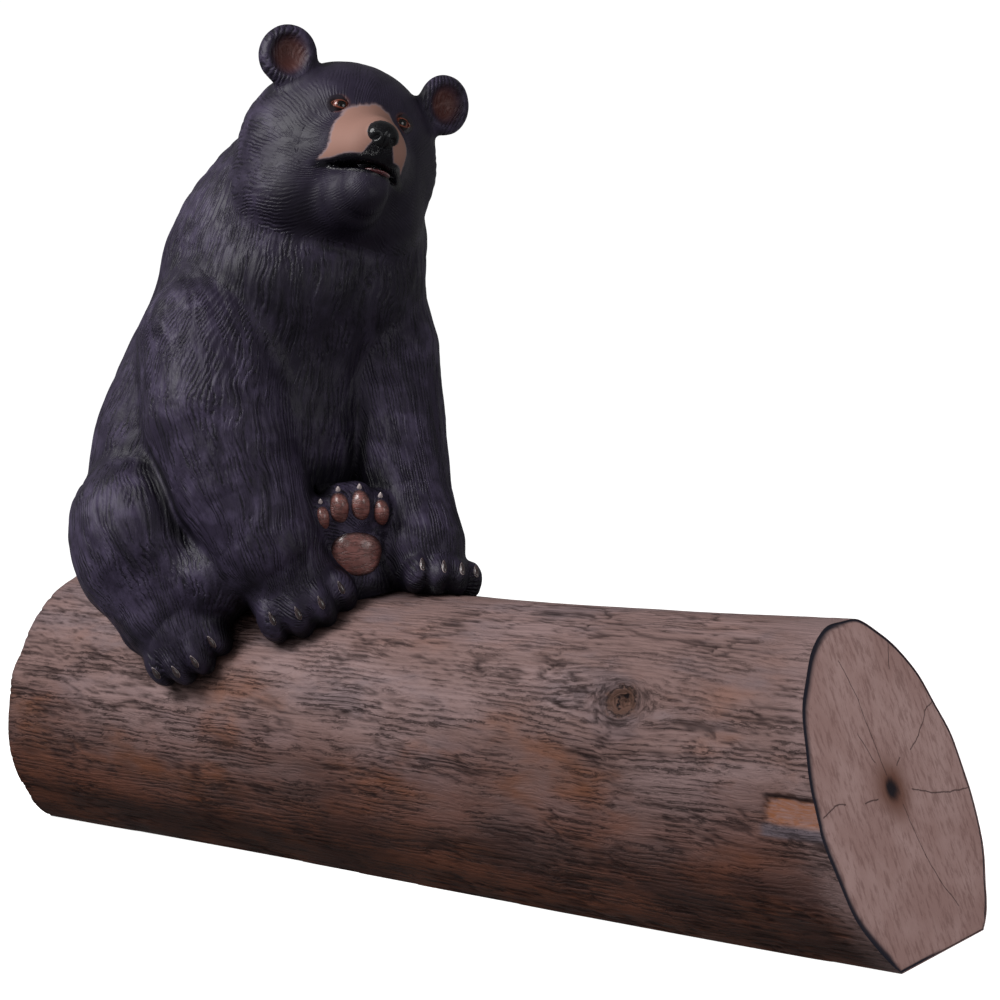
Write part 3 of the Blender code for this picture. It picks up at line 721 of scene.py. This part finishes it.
def buildLog():
    rings, sides, endRings = (logMesh[key] for key in ("rings", "sides", "endRings"))
    t = ringPlaces()[:, None] * np.ones((1, sides))
    angle = np.ones((rings, 1)) * np.linspace(0, 2 * math.pi, sides, endpoint=False)
    roundDeg = np.degrees(np.arctan2(-np.cos(angle), np.sin(angle)))
    height = np.zeros_like(angle)
    z = log["axisHeight"] + log["halfHeight"] * np.sin(angle)
    for step in range(4):
        left = -log["halfLength"] + log["plainEnd"] * z
        x = left + t * (log["halfLength"] - log["rakedEnd"] * z - left)
        out = swell(x, angle) + height
        y = (log["halfWidth"] + out) * np.cos(angle)
        z = np.maximum(log["axisHeight"] + (log["halfHeight"] + out) * np.sin(angle), 0)
        if step == 1:
            points = np.stack((x, y, z), axis=-1).reshape(-1, 3)
            grain, lines = barkGrain(points), barkLines(points, roundDeg.ravel())
            carved = barkHeight(points, grain, roundDeg.ravel())
            height, crack, bare = [values.reshape(angle.shape) for values in carved]
            height[z <= 0.0005] = 0
    bark = np.stack((x, y, z), axis=-1).reshape(-1, 3)
    shade = 0.85 * (1 - ease(outsideBear(bark), -0.004, logMesh["shadeReach"]))
    notes = [np.stack((crack.ravel(), shade, bare.ravel()), axis=1)]
    points, ring = [bark], np.arange(len(bark)).reshape(rings, sides).tolist()
    faces = bands(ring)
    barkFaces = len(faces)
    for end, outward in ((0, -1), (rings - 1, 1)):
        rimY, rimZ = y[end], z[end]
        first = sum(len(p) for p in points)
        wide = np.hypot(rimY - pith["y"], rimZ - pith["z"])
        slope = log["rakedEnd"] if outward > 0 else log["plainEnd"]
        for k in range(1, endRings):
            keep = 1 - (k / endRings) ** 1.6
            ry, rz = pith["y"] + (rimY - pith["y"]) * keep, pith["z"] + (rimZ - pith["z"]) * keep
            line = 0.004 + 0.008 * ease(-rimY, -0.05, 0.12)  # the dark rim is broadest in front
            line *= 0.4 + 0.6 * ease(rimZ, 0.0, 0.02)
            rim = 1 - ease((1 - keep) * wide, line * 0.7, line * 1.3)
            hollow = 1 - ease(np.hypot(ry - pith["y"], rz - pith["z"]), 0.004, 0.02)
            depth = logMesh["rimDepth"] * rim, logMesh["pithDepth"] * hollow
            rx = outward * (log["halfLength"] - slope * rz - depth[0] - depth[1])
            points.append(np.stack((rx, ry, rz), axis=1))
            notes.append(np.stack((0 * rim, rim, 0 * rim), axis=1))
        middleX = outward * (log["halfLength"] - slope * pith["z"] - logMesh["pithDepth"])
        points.append(np.array([[middleX, pith["y"], pith["z"]]]))
        notes.append(np.array([[0, 0, 0]]))
        inner = (first + np.arange((endRings - 1) * sides)).reshape(-1, sides).tolist()
        loops = [ring[end], *inner, [first + (endRings - 1) * sides] * sides]
        for a, b in zip(loops, loops[1:]):
            faces += band(a, b) if outward < 0 else band(b, a)
    points = np.vstack(points)
    piece = addPiece("trunk", points, faces, [barkPaint(), endPaint()],
                     {"bark": np.vstack(notes), "grain": np.vstack((grain, points[len(grain):])),
                      "lines": np.concatenate((lines, np.zeros(len(points) - len(lines))))})
    slots = np.zeros(len(faces), np.int32)
    slots[barkFaces:] = 1
    piece.data.polygons.foreach_set("material_index", slots)
    piece.data.set_sharp_from_angle(angle=math.radians(60))
    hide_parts("tree_trunk")
    print("stage: log,", 2 * len(faces), "triangles at most")


# The bear's skin: the solid worked finer, drawn onto the masses and then carved

carving = {
    "stretch": 5.0, "strokeDepth": 0.0013, "tuftPitch": 0.024, "tuftStretch": 4.5, "tuftDepth": 0.0018,
    "swayPitch": 0.085, "sway": 0.016, "muzzleCentre": (13.0, 0.0, -4.0), "faceSpread": 0.12,
    "headStrands": 130, "headTwist": 4.5, "curl": 8.0, "curlPitch": 0.05, "ravel": 5.0, "ravelPitch": 0.03,
    "seamShade": 5.0, "seamDark": 0.45, "lockPitch": 0.026, "raised": 0.0004, "apart": 0.37,
}


# The points with the way of the fur pressed short, so that soft noise turns to strokes
def combed(points, owner, stretch):
    bent = points + carving["sway"] * drift(points, carving["swayPitch"], 4.7)
    space = np.empty_like(points)
    centre = headSpot(*carving["muzzleCentre"])
    for n, group in enumerate(groups):
        mine = owner == n
        some = bent[mine]
        if n in headGroups:
            way = some - centre
            far = np.linalg.norm(way, axis=1)[:, None]
            spread = carving["faceSpread"] + far / stretch
            space[mine] = way / far * spread + carving["apart"] * headGroups[0]
        else:
            along = some @ group.lay
            space[mine] = some - along[:, None] * group.lay * (1 - 1 / stretch) + carving["apart"] * n
    return space


# The stroke space, two sides that give the angle round each group with its count, and the bend
def strands(points, owner):
    stroke, turn = combed(points, owner, carving["stretch"]), np.zeros_like(points)
    comb = carving["curl"] * ripple(points, carving["curlPitch"], 2.6)
    comb += carving["ravel"] * ripple(stroke, carving["ravelPitch"], 5.9)
    for n, group in enumerate(groups):
        mine = owner == n
        if n in headGroups:
            _, left, up = ((points[mine] - headSpot(*carving["muzzleCentre"])) @ headFrame).T
            turn[mine] = np.stack((up, np.abs(left), 0 * up + carving["headStrands"]), axis=1)
            comb[mine] += carving["headStrands"] * carving["headTwist"] * np.hypot(left, up)
        else:
            local, side = points[mine] - group.middle, unit(np.cross(group.lay, (1, 0.3, 0.2)))
            ahead, aside = local @ side, local @ np.cross(group.lay, side)
            turn[mine] = np.stack((ahead, aside, 0 * ahead + group.strands), axis=1)
            comb[mine] -= group.strands * group.twist * np.maximum(local @ group.lay, 0) ** 2
    return {"stroke": stroke, "turn": turn, "comb": comb}


def headPlace(points):  # in the head's own frame, in hundredths of the bear's height
    return ((points - headCentre) @ headFrame / share).T


def shaded(points, owner):  # painted shade on the chest, under the chin and on the far cheek
    forward, left, up = ((points - seat) @ bodyFrame / share).T
    chest = ease(forward, 9, 18) * ease(up, 22, 32) * (1 - ease(up, 54, 64)) * (owner == 0)
    forward, left, up = headPlace(points)
    cheek = ease(left + 0.5 * (-6 - up), 3, 9) * (1 - ease(up, 2, 9)) * ease(forward, -4, 4)
    chin = ease(-up, 9, 14) * ease(forward, 2, 8)
    near = 0.8 * np.exp(-((left + 10) / 4) ** 2 - ((up + 3) / 6) ** 2) * ease(forward, 2, 6)
    return 0.62 * np.clip(chest + (cheek + chin + near) * np.isin(owner, headGroups[:2]), 0, 1)


def faceTones(points):  # the tan muzzle, the wet black lips, and the red of the ears and the eyes' corners
    forward, left, up = headPlace(points)
    ragged = 0.35 * ripple(points, 0.006, 1.9) + 0.35 * ripple(points, 0.02, 7.3)
    edge = np.interp(up, (-7.1, -5.6, -4.3, -2.3, -0.4, 2.1, 4.5), (11.9, 14.2, 15.0, 14.4, 13.4, 12.3, 12.0))
    edge += 3.0 * ease(left, 2.0, 5.0)  # the far side shows less
    tan = ease(forward - edge + ragged, -0.5, 0.5) * ease(up, -7.3, -6.9)
    tan *= 1 - ease(up + 0.4 * np.abs(left) + ragged, 4.3, 5.3)
    half = 1.3 + (-2.8 - up) * 0.46
    front = ease(forward, 15.5, 17.5) * ease(half - np.abs(left) + 0.3 * ragged, -0.25, 0.2)
    front *= ease(-up, 2.2, 3.0) * (1 - ease(-up, 7.2, 7.8))
    slit = -7.5 + 0.07 * (forward - 16)
    thick = np.interp(forward, (11, 15, 18), (0.45, 0.65, 1.1))
    lips = (1 - ease(np.abs(up - slit) - thick, -0.1, 0.3)) * ease(forward, 8.6, 10.0)
    lips *= ease(20 - np.abs(left), 11, 13)
    wet = np.clip(front + lips, 0, 1)
    red = np.zeros(len(points))
    for cup in earCups.masses:
        local = (points - cup.centre) @ cup.axes / cup.radii
        red += (1 - ease(np.hypot(local[:, 1], local[:, 2]), 0.45, 1.05)) * ease(local[:, 0], -1.5, -1.1)
    for centre, radius in eyes.values():
        red += 0.8 * (1 - ease(np.linalg.norm(points - centre, axis=1) / radius, 1.1, 1.5))
    return tan * (1 - wet), wet, np.clip(red, 0, 1)


def normalsOf(mesh):
    found = np.empty(len(mesh.vertices) * 3, np.float32)
    mesh.vertex_normals.foreach_get("vector", found)
    return found.reshape(-1, 3)


def move(mesh, points):
    mesh.vertices.foreach_set("co", points.astype(np.float32).ravel())
    mesh.update()


def drawSkin():  # the solid worked finer and drawn onto the masses
    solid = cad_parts["bear"]
    work = bpy.data.objects.new("bear work", solid.data.copy())
    bpy.context.scene.collection.objects.link(work)
    remesh = work.modifiers.new("finer", "REMESH")
    remesh.mode, remesh.voxel_size = "VOXEL", skin["grain"]
    calm = work.modifiers.new("calm", "SMOOTH")
    calm.factor, calm.iterations = 0.5, 3
    mesh = bpy.data.meshes.new_from_object(work.evaluated_get(bpy.context.evaluated_depsgraph_get()))
    bpy.data.objects.remove(work)
    places = np.empty(len(mesh.vertices) * 3, np.float32)
    for _ in range(skin["rounds"]):
        mesh.vertices.foreach_get("co", places)
        points = places.reshape(-1, 3).astype(float)
        step = np.clip(outsideBear(points), -skin["step"], skin["step"])
        points -= normalsOf(mesh) * step[:, None]
        move(mesh, points)
    print("stage: skin drawn,", len(points), "points")
    return mesh, points


def buildBear(paint):
    mesh, points = drawSkin()
    away = np.stack([group.away(points) for group in groups])
    owner = np.argmin(away, axis=0)
    owners = [away[headGroups].min(axis=0), *away[:headGroups[0]]]  # the head's groups count as one
    first, second = np.sort(owners, axis=0)[:2]
    # painted shade: deep between masses and close over the log, along the seams between masses, and on the
    # chest, chin and far cheek
    crease = ease(occluded(points, normalsOf(mesh)), 0.10, 0.62)
    seam = 1 - ease(second - first, 0, carving["seamShade"] * share)
    crease = np.maximum(crease, carving["seamDark"] * seam)
    crease = np.maximum(crease, shaded(points, owner))
    tan, wet, red = faceTones(points)
    wet[owner == noseGroup] = 1
    onHead = np.isin(owner, headGroups)
    tan, wet, red = tan * onHead * (1 - wet), wet * onHead, red * onHead
    soft = np.array([group.fur for group in groups])[owner]
    soft *= 1 - np.clip(tan + wet, 0, 1)
    forward, left, up = headPlace(points)
    fromMuzzle = np.linalg.norm((forward - 13, left, np.where(up > -4, 0.62, 1) * (up + 4)), axis=0)
    calm = onHead * (1 - ease(fromMuzzle, 14, 24)) * ~np.isin(owner, earGroups)
    soft *= (1 - 0.75 * calm) * (0.3 + 0.7 * ease(second - first, 0, 2 * share))
    for centre, radius in eyes.values():
        soft *= ease(np.linalg.norm(points - centre, axis=1), 1.3 * radius, 2.6 * radius)
    notes = strands(points, owner)
    stroke, turn = notes["stroke"], notes["turn"]
    angle = np.arctan2(turn[:, 1], turn[:, 0])
    lock = (turn[:, 2] * angle + notes["comb"]) / 2  # two strands to a carved lock
    groove = (0.5 - 0.5 * np.sin(lock)) * ease(ripple(stroke, carving["lockPitch"], 3.3), -0.3, 0.2)
    tuft = ripple(combed(points, owner, carving["tuftStretch"]), carving["tuftPitch"], 6.4)
    height = -carving["strokeDepth"] * groove + carving["tuftDepth"] * (np.abs(tuft) * 2 - 0.6)
    buried = outsideLog(points) < -0.6 * skin["sunkInBark"]
    height = np.where(buried, 0, height * soft) + carving["raised"]
    carved = points + normalsOf(mesh) * height[:, None]
    notes["tone"] = np.stack((tan, wet, red), axis=1)
    # hollow: painted shade in the low places between the carved tufts
    hollow, calm = ease(-tuft, 0.1, 0.5) * soft, np.clip(tan + wet + calm, 0, 1)
    notes["carving"] = np.stack((hollow, crease, calm), axis=1)
    move(mesh, carved)
    faces = np.array([p.vertices[:] for p in mesh.polygons])
    faces = faces[~buried[faces].all(axis=1)]
    splitBear(paint, points, carved, normalsOf(mesh), faces, owner, notes)
    bpy.data.meshes.remove(mesh)


# The pieces share one set of normals, so that no seam shows between them
def splitBear(paint, points, carved, facing, faces, owner, notes):
    owners = owner[faces[:, 0]]
    part = np.array([group.piece for group in groups], dtype=object)[owners]
    high = points[faces[:, 0], 2] > spot(0, 0, skin["shouldersFrom"])[2]
    part[(part == "bear_body") & high] = "bear_shoulders"
    for name in sorted(set(part)):
        kept, made, told = [], [], {key: [] for key in notes}
        for n in sorted(set(owners[part == name])):
            used, index = np.unique(faces[(part == name) & (owners == n)], return_inverse=True)
            made.append(index.reshape(-1, 4) + sum(len(some) for some in kept))
            kept.append(used)
            other = owner[used] != n  # points on the edge of another group take this one's strands here
            fresh = strands(points[used[other]], np.full(other.sum(), n))
            for key, values in notes.items():
                values = values[used]
                if key in fresh:
                    values[other] = fresh[key]
                told[key].append(values)
        kept, made = np.concatenate(kept), np.concatenate(made)
        told = {key: np.concatenate(values) for key, values in told.items()}
        piece = addPiece(name, carved[kept], made, [paint], told, facing[kept])
        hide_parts("bear")
        print("stage:", name, 2 * len(made), "triangles")


# Eyes, nose, tongue, pads and claws

def ballShape(centre, radii, axes, rows=40, cols=64, change=None):  # one point for each pole
    points = []
    places = [(0, 0), *[(r, c) for r in range(1, rows) for c in range(cols)], (rows, 0)]
    for r, c in places:
        a, b = math.pi * (r / rows), 2 * math.pi * c / cols
        way = np.array((math.cos(a), math.sin(a) * math.cos(b), math.sin(a) * math.sin(b)))
        size = np.array(radii) * (change(way) if change else 1)
        points.append(centre + axes @ (way * size))
    last = len(points) - 1
    return points, bands([[0] * cols, *np.arange(1, last).reshape(-1, cols).tolist(), [last] * cols])


eyeLook = {  # sizes in radii of the eye; each ring of the iris from its edge to the pupil
    "wide": 1.12, "tall": 0.38, "outerWide": 1.75, "outerTall": 1.25, "turnOut": 0.12, "rise": 0.08,
    "rings": ((0.0, (0.04, 0.008, 0.005)), (0.60, (0.17, 0.028, 0.012)), (0.80, (0.13, 0.025, 0.012)),
              (0.87, (0.03, 0.007, 0.004)), (0.90, (0.002, 0.002, 0.002))),
    "lid": (0.016, 0.012, 0.020), "lidEdge": (0.010, 0.005, 0.006), "wetEdge": (0.15, 0.040, 0.024),
}


def eyePaint(centre, radius, gaze):
    paint = Paint("amber_eye", Roughness=0.10, Specular_IOR_Level=0.4)
    local = paint.vector("SUBTRACT", paint.place(), tuple(centre))
    out = paint.vector("DOT_PRODUCT", local, tuple(gaze), "Value") / radius  # 1 in the middle of the pupil
    streaks = paint.cloud(local, 260.0, 2.0)
    rings = {"stops": eyeLook["rings"]}
    paint.feed("Base Color", paint.node("ShaderNodeValToRGB", rings, {0: out + (streaks - 0.5) * 0.05}))
    return paint


def lidPaint(look=eyeLook):
    paint = Paint("eyelid", Specular_IOR_Level=0.25)
    inner = paint.told("edge", "Fac")
    grain = paint.cloud(paint.place(), 300.0, 2.0)
    colour = paint.mix(paint.between(inner + grain * 0.2, 0.35, 0.85), look["lid"], look["lidEdge"])
    colour = paint.mix(paint.between(inner + grain * 0.1, 0.80, 0.98), colour, look["wetEdge"])
    return paint.dressed(colour, paint.between(inner, 0.3, 0.9, 0.5, 0.32), grain, 0.0004)


# A lid all round the eye, open in an almond and sunk in the fur outside
def lidShape(centre, axes, radius, around=80, across=20):
    points, edge = [], []
    for n in range(around):
        t = 2 * math.pi * n / around
        for k in range(across):
            s = 2 * math.pi * k / across
            out = 0.5 - 0.5 * math.cos(s)  # 0 at the opening, 1 at the outer edge
            almond = eyeLook["tall"] * math.sin(t) * abs(math.sin(t)) ** 0.6
            x = (eyeLook["wide"] + (eyeLook["outerWide"] - eyeLook["wide"]) * out) * math.cos(t)
            y = almond + (eyeLook["outerTall"] * math.sin(t) - almond) * out
            depth = math.sqrt(1 - min(0.82, x * x + y * y)) * (1 - 0.3 * out) + 0.06 + 0.06 * math.sin(s)
            points.append(centre + axes @ np.array((depth, x, y)) * radius)
            edge.append(1 - out)
    rings = np.arange(len(points)).reshape(around, across).tolist()
    return points, bands([*rings, rings[0]]), np.array(edge)


def buildEyes():
    for name, side in (("left_eye", 1), ("right_eye", -1)):
        centre, radius = eyes[name]
        gaze = unit(headFrame @ np.array((1, eyeLook["turnOut"] * side, eyeLook["rise"])))
        across = unit(np.cross(headFrame[:, 2], gaze))
        axes = np.array((gaze, across, np.cross(gaze, across))).T
        points, faces = ballShape(centre, (radius,) * 3, axes)
        ball = addPiece(name + "_ball", points, faces, [eyePaint(centre, radius, gaze)])
        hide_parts(name)
        points, faces, edge = lidShape(centre, axes, radius)
        addPiece(name + "_lids", points, faces, [lidPaint()], {"edge": edge})
    print("stage: eyes")


noseLook = {
    "at": (21.0, 0.0, -2.5), "radii": (2.4, 2.8, 2.5), "nostril": 0.42, "groove": 0.14,
    "dark": (0.002, 0.002, 0.003), "pale": (0.006, 0.006, 0.008), "pebbles": 520.0,
}
tongueLook = {
    "at": (15.8, 1.2, -7.75), "radii": (4.4, 2.8, 0.62), "groove": 0.12,
    "dark": (0.07, 0.014, 0.016), "pale": (0.20, 0.07, 0.08),
}


def nosePaint(look=noseLook):
    paint = Paint("wet_nose", Coat_Weight=0.3, Coat_Roughness=0.04, Specular_IOR_Level=0.08)
    values = {"Vector": paint.place(), "Scale": look["pebbles"]}
    cells = paint.node("ShaderNodeTexVoronoi", {"feature": "F1"}, values)
    cloudy = paint.cloud(paint.place(), 60.0, 2.0)
    colour = paint.mix(paint.between(cloudy, 0.4, 0.7), look["dark"], look["pale"])
    rough = paint.between(cloudy, 0.3, 0.7, 0.30, 0.45)
    return paint.dressed(colour, rough, 1 - paint.between(cells, 0.1, 0.6), 0.0006, 0.7)


def tonguePaint(look=tongueLook):
    paint = Paint("tongue", Coat_Weight=0.9, Coat_Roughness=0.08)
    grain = paint.cloud(paint.place(), 350.0, 3.0)
    colour = paint.mix(paint.between(grain, 0.35, 0.7), look["dark"], look["pale"])
    return paint.dressed(colour, paint.between(grain, 0.3, 0.7, 0.2, 0.4), grain, 0.0006)


def noseShape(way):  # broad above, two nostrils and the groove down the middle
    forward, left, up = way
    wide = 1 + 0.10 * max(up, 0) - 0.16 * max(-up, 0)
    aside = abs(left) - 0.58
    nostril = math.exp(-((aside / 0.17) ** 2 + ((up + 0.22 + 0.5 * aside) / 0.20) ** 2))
    groove = math.exp(-(left / 0.07) ** 2) * max(0.0, min(1.0, 0.4 - up)) * max(forward, 0)
    return wide * (1 - noseLook["nostril"] * nostril * max(forward, 0) ** 0.5 - noseLook["groove"] * groove)


def tongueShape(way):  # a groove down the middle of its upper side
    return 1 - tongueLook["groove"] * math.exp(-(way[1] / 0.12) ** 2) * max(way[2], 0)


def buildNoseAndMouth():
    for name, look, rows, cols, change, paint in (
        ("nose", noseLook, 90, 120, noseShape, nosePaint()),
        ("tongue", tongueLook, 40, 48, tongueShape, tonguePaint()),
    ):
        radii = np.array(look["radii"]) * share
        points, faces = ballShape(headSpot(*look["at"]), radii, headFrame, rows, cols, change)
        addPiece(name, points, faces, [paint])
    print("stage: nose and mouth")


padLook = {
    "big": ((0.1, -2.3), (5.0, 4.1), 0.0095), "toeHeight": 0.0055, "sunk": 0.0025,
    "behind": 0.006, "lean": -0.024,
    "toes": (((5.1, 4.4), (1.5, 2.5)), ((1.6, 6.0), (1.8, 2.9)),
             ((-2.1, 5.9), (1.8, 2.9)), ((-5.2, 4.3), (1.4, 2.4))),
    "dark": (0.130, 0.042, 0.036), "pale": (0.22, 0.088, 0.078), "crease": (0.040, 0.015, 0.014),
    "edge": (0.010, 0.006, 0.008),
}


def padPaint(look=padLook):
    paint = Paint("sole_pad", Coat_Weight=0.35, Coat_Roughness=0.18)
    place = paint.place()
    crossing = paint.cloud(paint.stretched(place, (0.25, 0.25, 1.0)), 130.0, 3.0, 0.6, 0.3)
    crease = 1 - paint.between(abs(crossing - 0.5), 0.0, 0.07)
    colour = paint.layered(
        paint.mix(paint.between(paint.cloud(place, 55.0, 2.0), 0.35, 0.7), look["dark"], look["pale"]),
        (crease * 0.55, look["crease"]),
        (paint.between(paint.told("edge", "Fac"), 0.74, 1.0), look["edge"]))
    rough = paint.between(crossing, 0.3, 0.7, 0.30, 0.46)
    return paint.dressed(colour, rough, 1 - crease * 0.6 + crossing * 0.3, 0.0010, 0.8)


def padShape(middle, radii, height, lean=0.0, rows=14, cols=64):
    local, edge = [(0.0, 0.0)], [0.0]
    for r in range(1, rows + 1):
        for c in range(cols):
            t, far = 2 * math.pi * c / cols, r / rows
            full = 1 - 0.05 * math.cos(2 * t + 0.4) ** 2  # a little square
            local.append((far * full * math.cos(t), far * full * math.sin(t)))
            edge.append(far)
    local, edge = np.array(local), np.array(edge)
    turned = local @ np.array(((math.cos(lean), math.sin(lean)), (-math.sin(lean), math.cos(lean))))
    starts = [soleSpot(4.0, middle[0] + a * radii[0], middle[1] + b * radii[1]) for a, b in turned]
    met = metBy(groups[soleGroup], starts, -soleFrame[:, 0])
    dome = height * np.sqrt(np.maximum(1 - edge**2.6, 0)) - padLook["sunk"] * edge**6
    points = met + dome[:, None] * soleFrame[:, 0]
    faces = [(0, 1 + c, 1 + (c + 1) % cols) for c in range(cols)]
    for r in range(rows - 1):
        for c in range(cols):
            a, b = 1 + r * cols + c, 1 + r * cols + (c + 1) % cols
            faces.append((a, a + cols, b + cols, b))
    rim = list(range(1 + (rows - 1) * cols, 1 + rows * cols))
    back, behind = len(points), padLook["behind"] * soleFrame[:, 0]
    points = np.vstack((points, met[rim] - behind, met[:1] - behind))
    for c in range(cols):
        n = (c + 1) % cols
        faces.append((rim[c], back + c, back + n, rim[n]))
        faces.append((back + c, back + cols, back + n))
    return points, faces, np.concatenate((edge, np.ones(cols + 1)))


clawLook = {
    "radii": (0.0115, 0.0056, 0.0042), "slope": 32.0, "soleRadii": (0.0085, 0.0050, 0.0045),
    "dark": (0.012, 0.007, 0.008), "horn": (0.040, 0.020, 0.021), "edge": (0.50, 0.42, 0.42),
}


def clawPaint(look=clawLook):
    paint = Paint("claw", Coat_Weight=0.4, Coat_Roughness=0.15)
    edge = paint.told("edge", "Fac")
    grain = paint.cloud(paint.place(), 400.0, 2.0)
    body = paint.mix(paint.between(grain, 0.35, 0.65), look["dark"], look["horn"])
    colour = paint.mix(paint.between(edge + (grain - 0.5) * 0.3, 0.70, 0.86), body, look["edge"])
    return paint.dressed(colour, paint.between(grain, 0.3, 0.7, 0.28, 0.42), grain, 0.0003)


def clawTaper(way):  # narrower towards the tip
    return 1 - 0.25 * abs(way[1]) * (1 + way[0])


def clawShape(centre, along, out, radii):  # half sunk in its toe, with a pale edge where they meet
    axes = np.array((along, np.cross(out, along), out)).T
    points, faces = ballShape(centre, radii, axes, 20, 28, clawTaper)
    height = (np.array(points) - centre) @ out / radii[2]
    return points, faces, 1 - np.clip(height, 0, 1)


def addEdged(name, shapes, paint):
    points, faces, edge = joined(shapes)
    addPiece(name, points, faces, [paint], {"edge": edge})


def buildFeet():
    shapes = [padShape(*padLook["big"])]
    for middle, radii in padLook["toes"]:
        shapes.append(padShape(middle, radii, padLook["toeHeight"], padLook["lean"] * middle[0]))
    addEdged("left_sole_pads", shapes, padPaint())
    paint, slope = clawPaint(), math.radians(clawLook["slope"])
    for name, (centre, axes, size) in pawPlaces.items():
        long, high = size[0] * toeLook["size"][0] * share, size[2] * toeLook["size"][2] * share
        out = unit(axes @ np.array((math.cos(slope) / long, 0, math.sin(slope) / high)))
        along = np.cross(out, axes[:, 1])
        onToe = axes @ np.array((long * math.cos(slope), 0, high * math.sin(slope)))
        toes = toeSpots(centre, axes, size)
        shapes = [clawShape(toe + onToe, along, out, clawLook["radii"]) for toe in toes]
        addEdged(name + "_claws", shapes, paint)
    along, out = [unit(soleFrame @ np.array(way)) for way in ((0.75, 0, 0.65), (-0.65, 0, 0.75))]
    places = [soleSpot(0.2, left, up + 2.5) for left, up, _ in soleToes]
    shapes = [clawShape(place, along, out, clawLook["soleRadii"]) for place in places]
    addEdged("left_hind_claws", shapes, paint)
    print("stage: feet")


# The studio

studio = {
    "cameraAt": (2.0636, -2.6609, 0.8347), "lens": 77.07,
    "right": (0.80233, 0.59681, -0.00899), "up": (-0.03673, 0.06439, 0.99725),
    "back": (0.59575, -0.79979, 0.07358),
    "sky": 0.22, "backdrop": 1.05, "floorColour": (0.9, 0.9, 0.9), "floorGlow": 0.88, "floorHalf": 14.0,
    "lamps": (("key", (-1.7, -2.6, 3.0), 2.0, 170.0), ("side", (2.7, -0.3, 1.3), 1.6, 22.0),
              ("front", (1.5, -3.6, 1.6), 1.2, 7.0), ("glint", (-0.2, -3.4, 2.4), 0.25, 12.0)),
    "lookAt": (0.0, 0.0, 0.6),
}


def buildStudio():
    camera = bpy.data.objects.new("camera", bpy.data.cameras.new("camera"))
    axes = Matrix([studio[key] for key in ("right", "up", "back")]).transposed()
    camera.matrix_world = Matrix.Translation(studio["cameraAt"]) @ axes.to_4x4()
    camera.data.lens, camera.data.clip_end = studio["lens"], 60
    bpy.context.scene.collection.objects.link(camera)
    bpy.context.scene.camera = camera
    mesh = bpy.data.meshes.new("floor")
    half = studio["floorHalf"]
    corners = [(-half, -half, 0), (half, -half, 0), (half, half, 0), (-half, half, 0)]
    mesh.from_pydata(corners, [], [(0, 1, 2, 3)])
    floor = bpy.data.objects.new("floor", mesh)
    paint = Paint("floor", Base_Color=(*studio["floorColour"], 1), Roughness=0.8,
                  Emission_Color=(1, 1, 1, 1), Emission_Strength=studio["floorGlow"])
    mesh.materials.append(paint.material)
    bpy.context.scene.collection.objects.link(floor)
    floor.visible_diffuse = floor.visible_glossy = False  # it stays pale and lights nothing from below
    world = bpy.data.worlds.new("studio")
    world.use_nodes = True
    background = world.node_tree.nodes["Background"]
    background.inputs["Color"].default_value = (1, 1, 1, 1)
    path = world.node_tree.nodes.new("ShaderNodeLightPath")
    bright = world.node_tree.nodes.new("ShaderNodeMapRange")
    bright.inputs["To Min"].default_value = studio["sky"]
    bright.inputs["To Max"].default_value = studio["backdrop"]
    world.node_tree.links.new(path.outputs["Is Camera Ray"], bright.inputs["Value"])
    world.node_tree.links.new(bright.outputs[0], background.inputs["Strength"])
    bpy.context.scene.world = world
    for name, place, size, power in studio["lamps"]:
        data = bpy.data.lights.new(name, "AREA")
        data.shape, data.size, data.energy = "DISK", size, power
        lamp = bpy.data.objects.new(name, data)
        lamp.location = place
        way = Vector(studio["lookAt"]) - Vector(place)
        lamp.rotation_euler = way.to_track_quat("-Z", "Y").to_euler()
        bpy.context.scene.collection.objects.link(lamp)
    bpy.context.scene.view_settings.view_transform = "Standard"
    print("stage: studio")


buildStudio()
buildLog()
buildBear(furPaint())
buildEyes()
buildNoseAndMouth()
buildFeet()
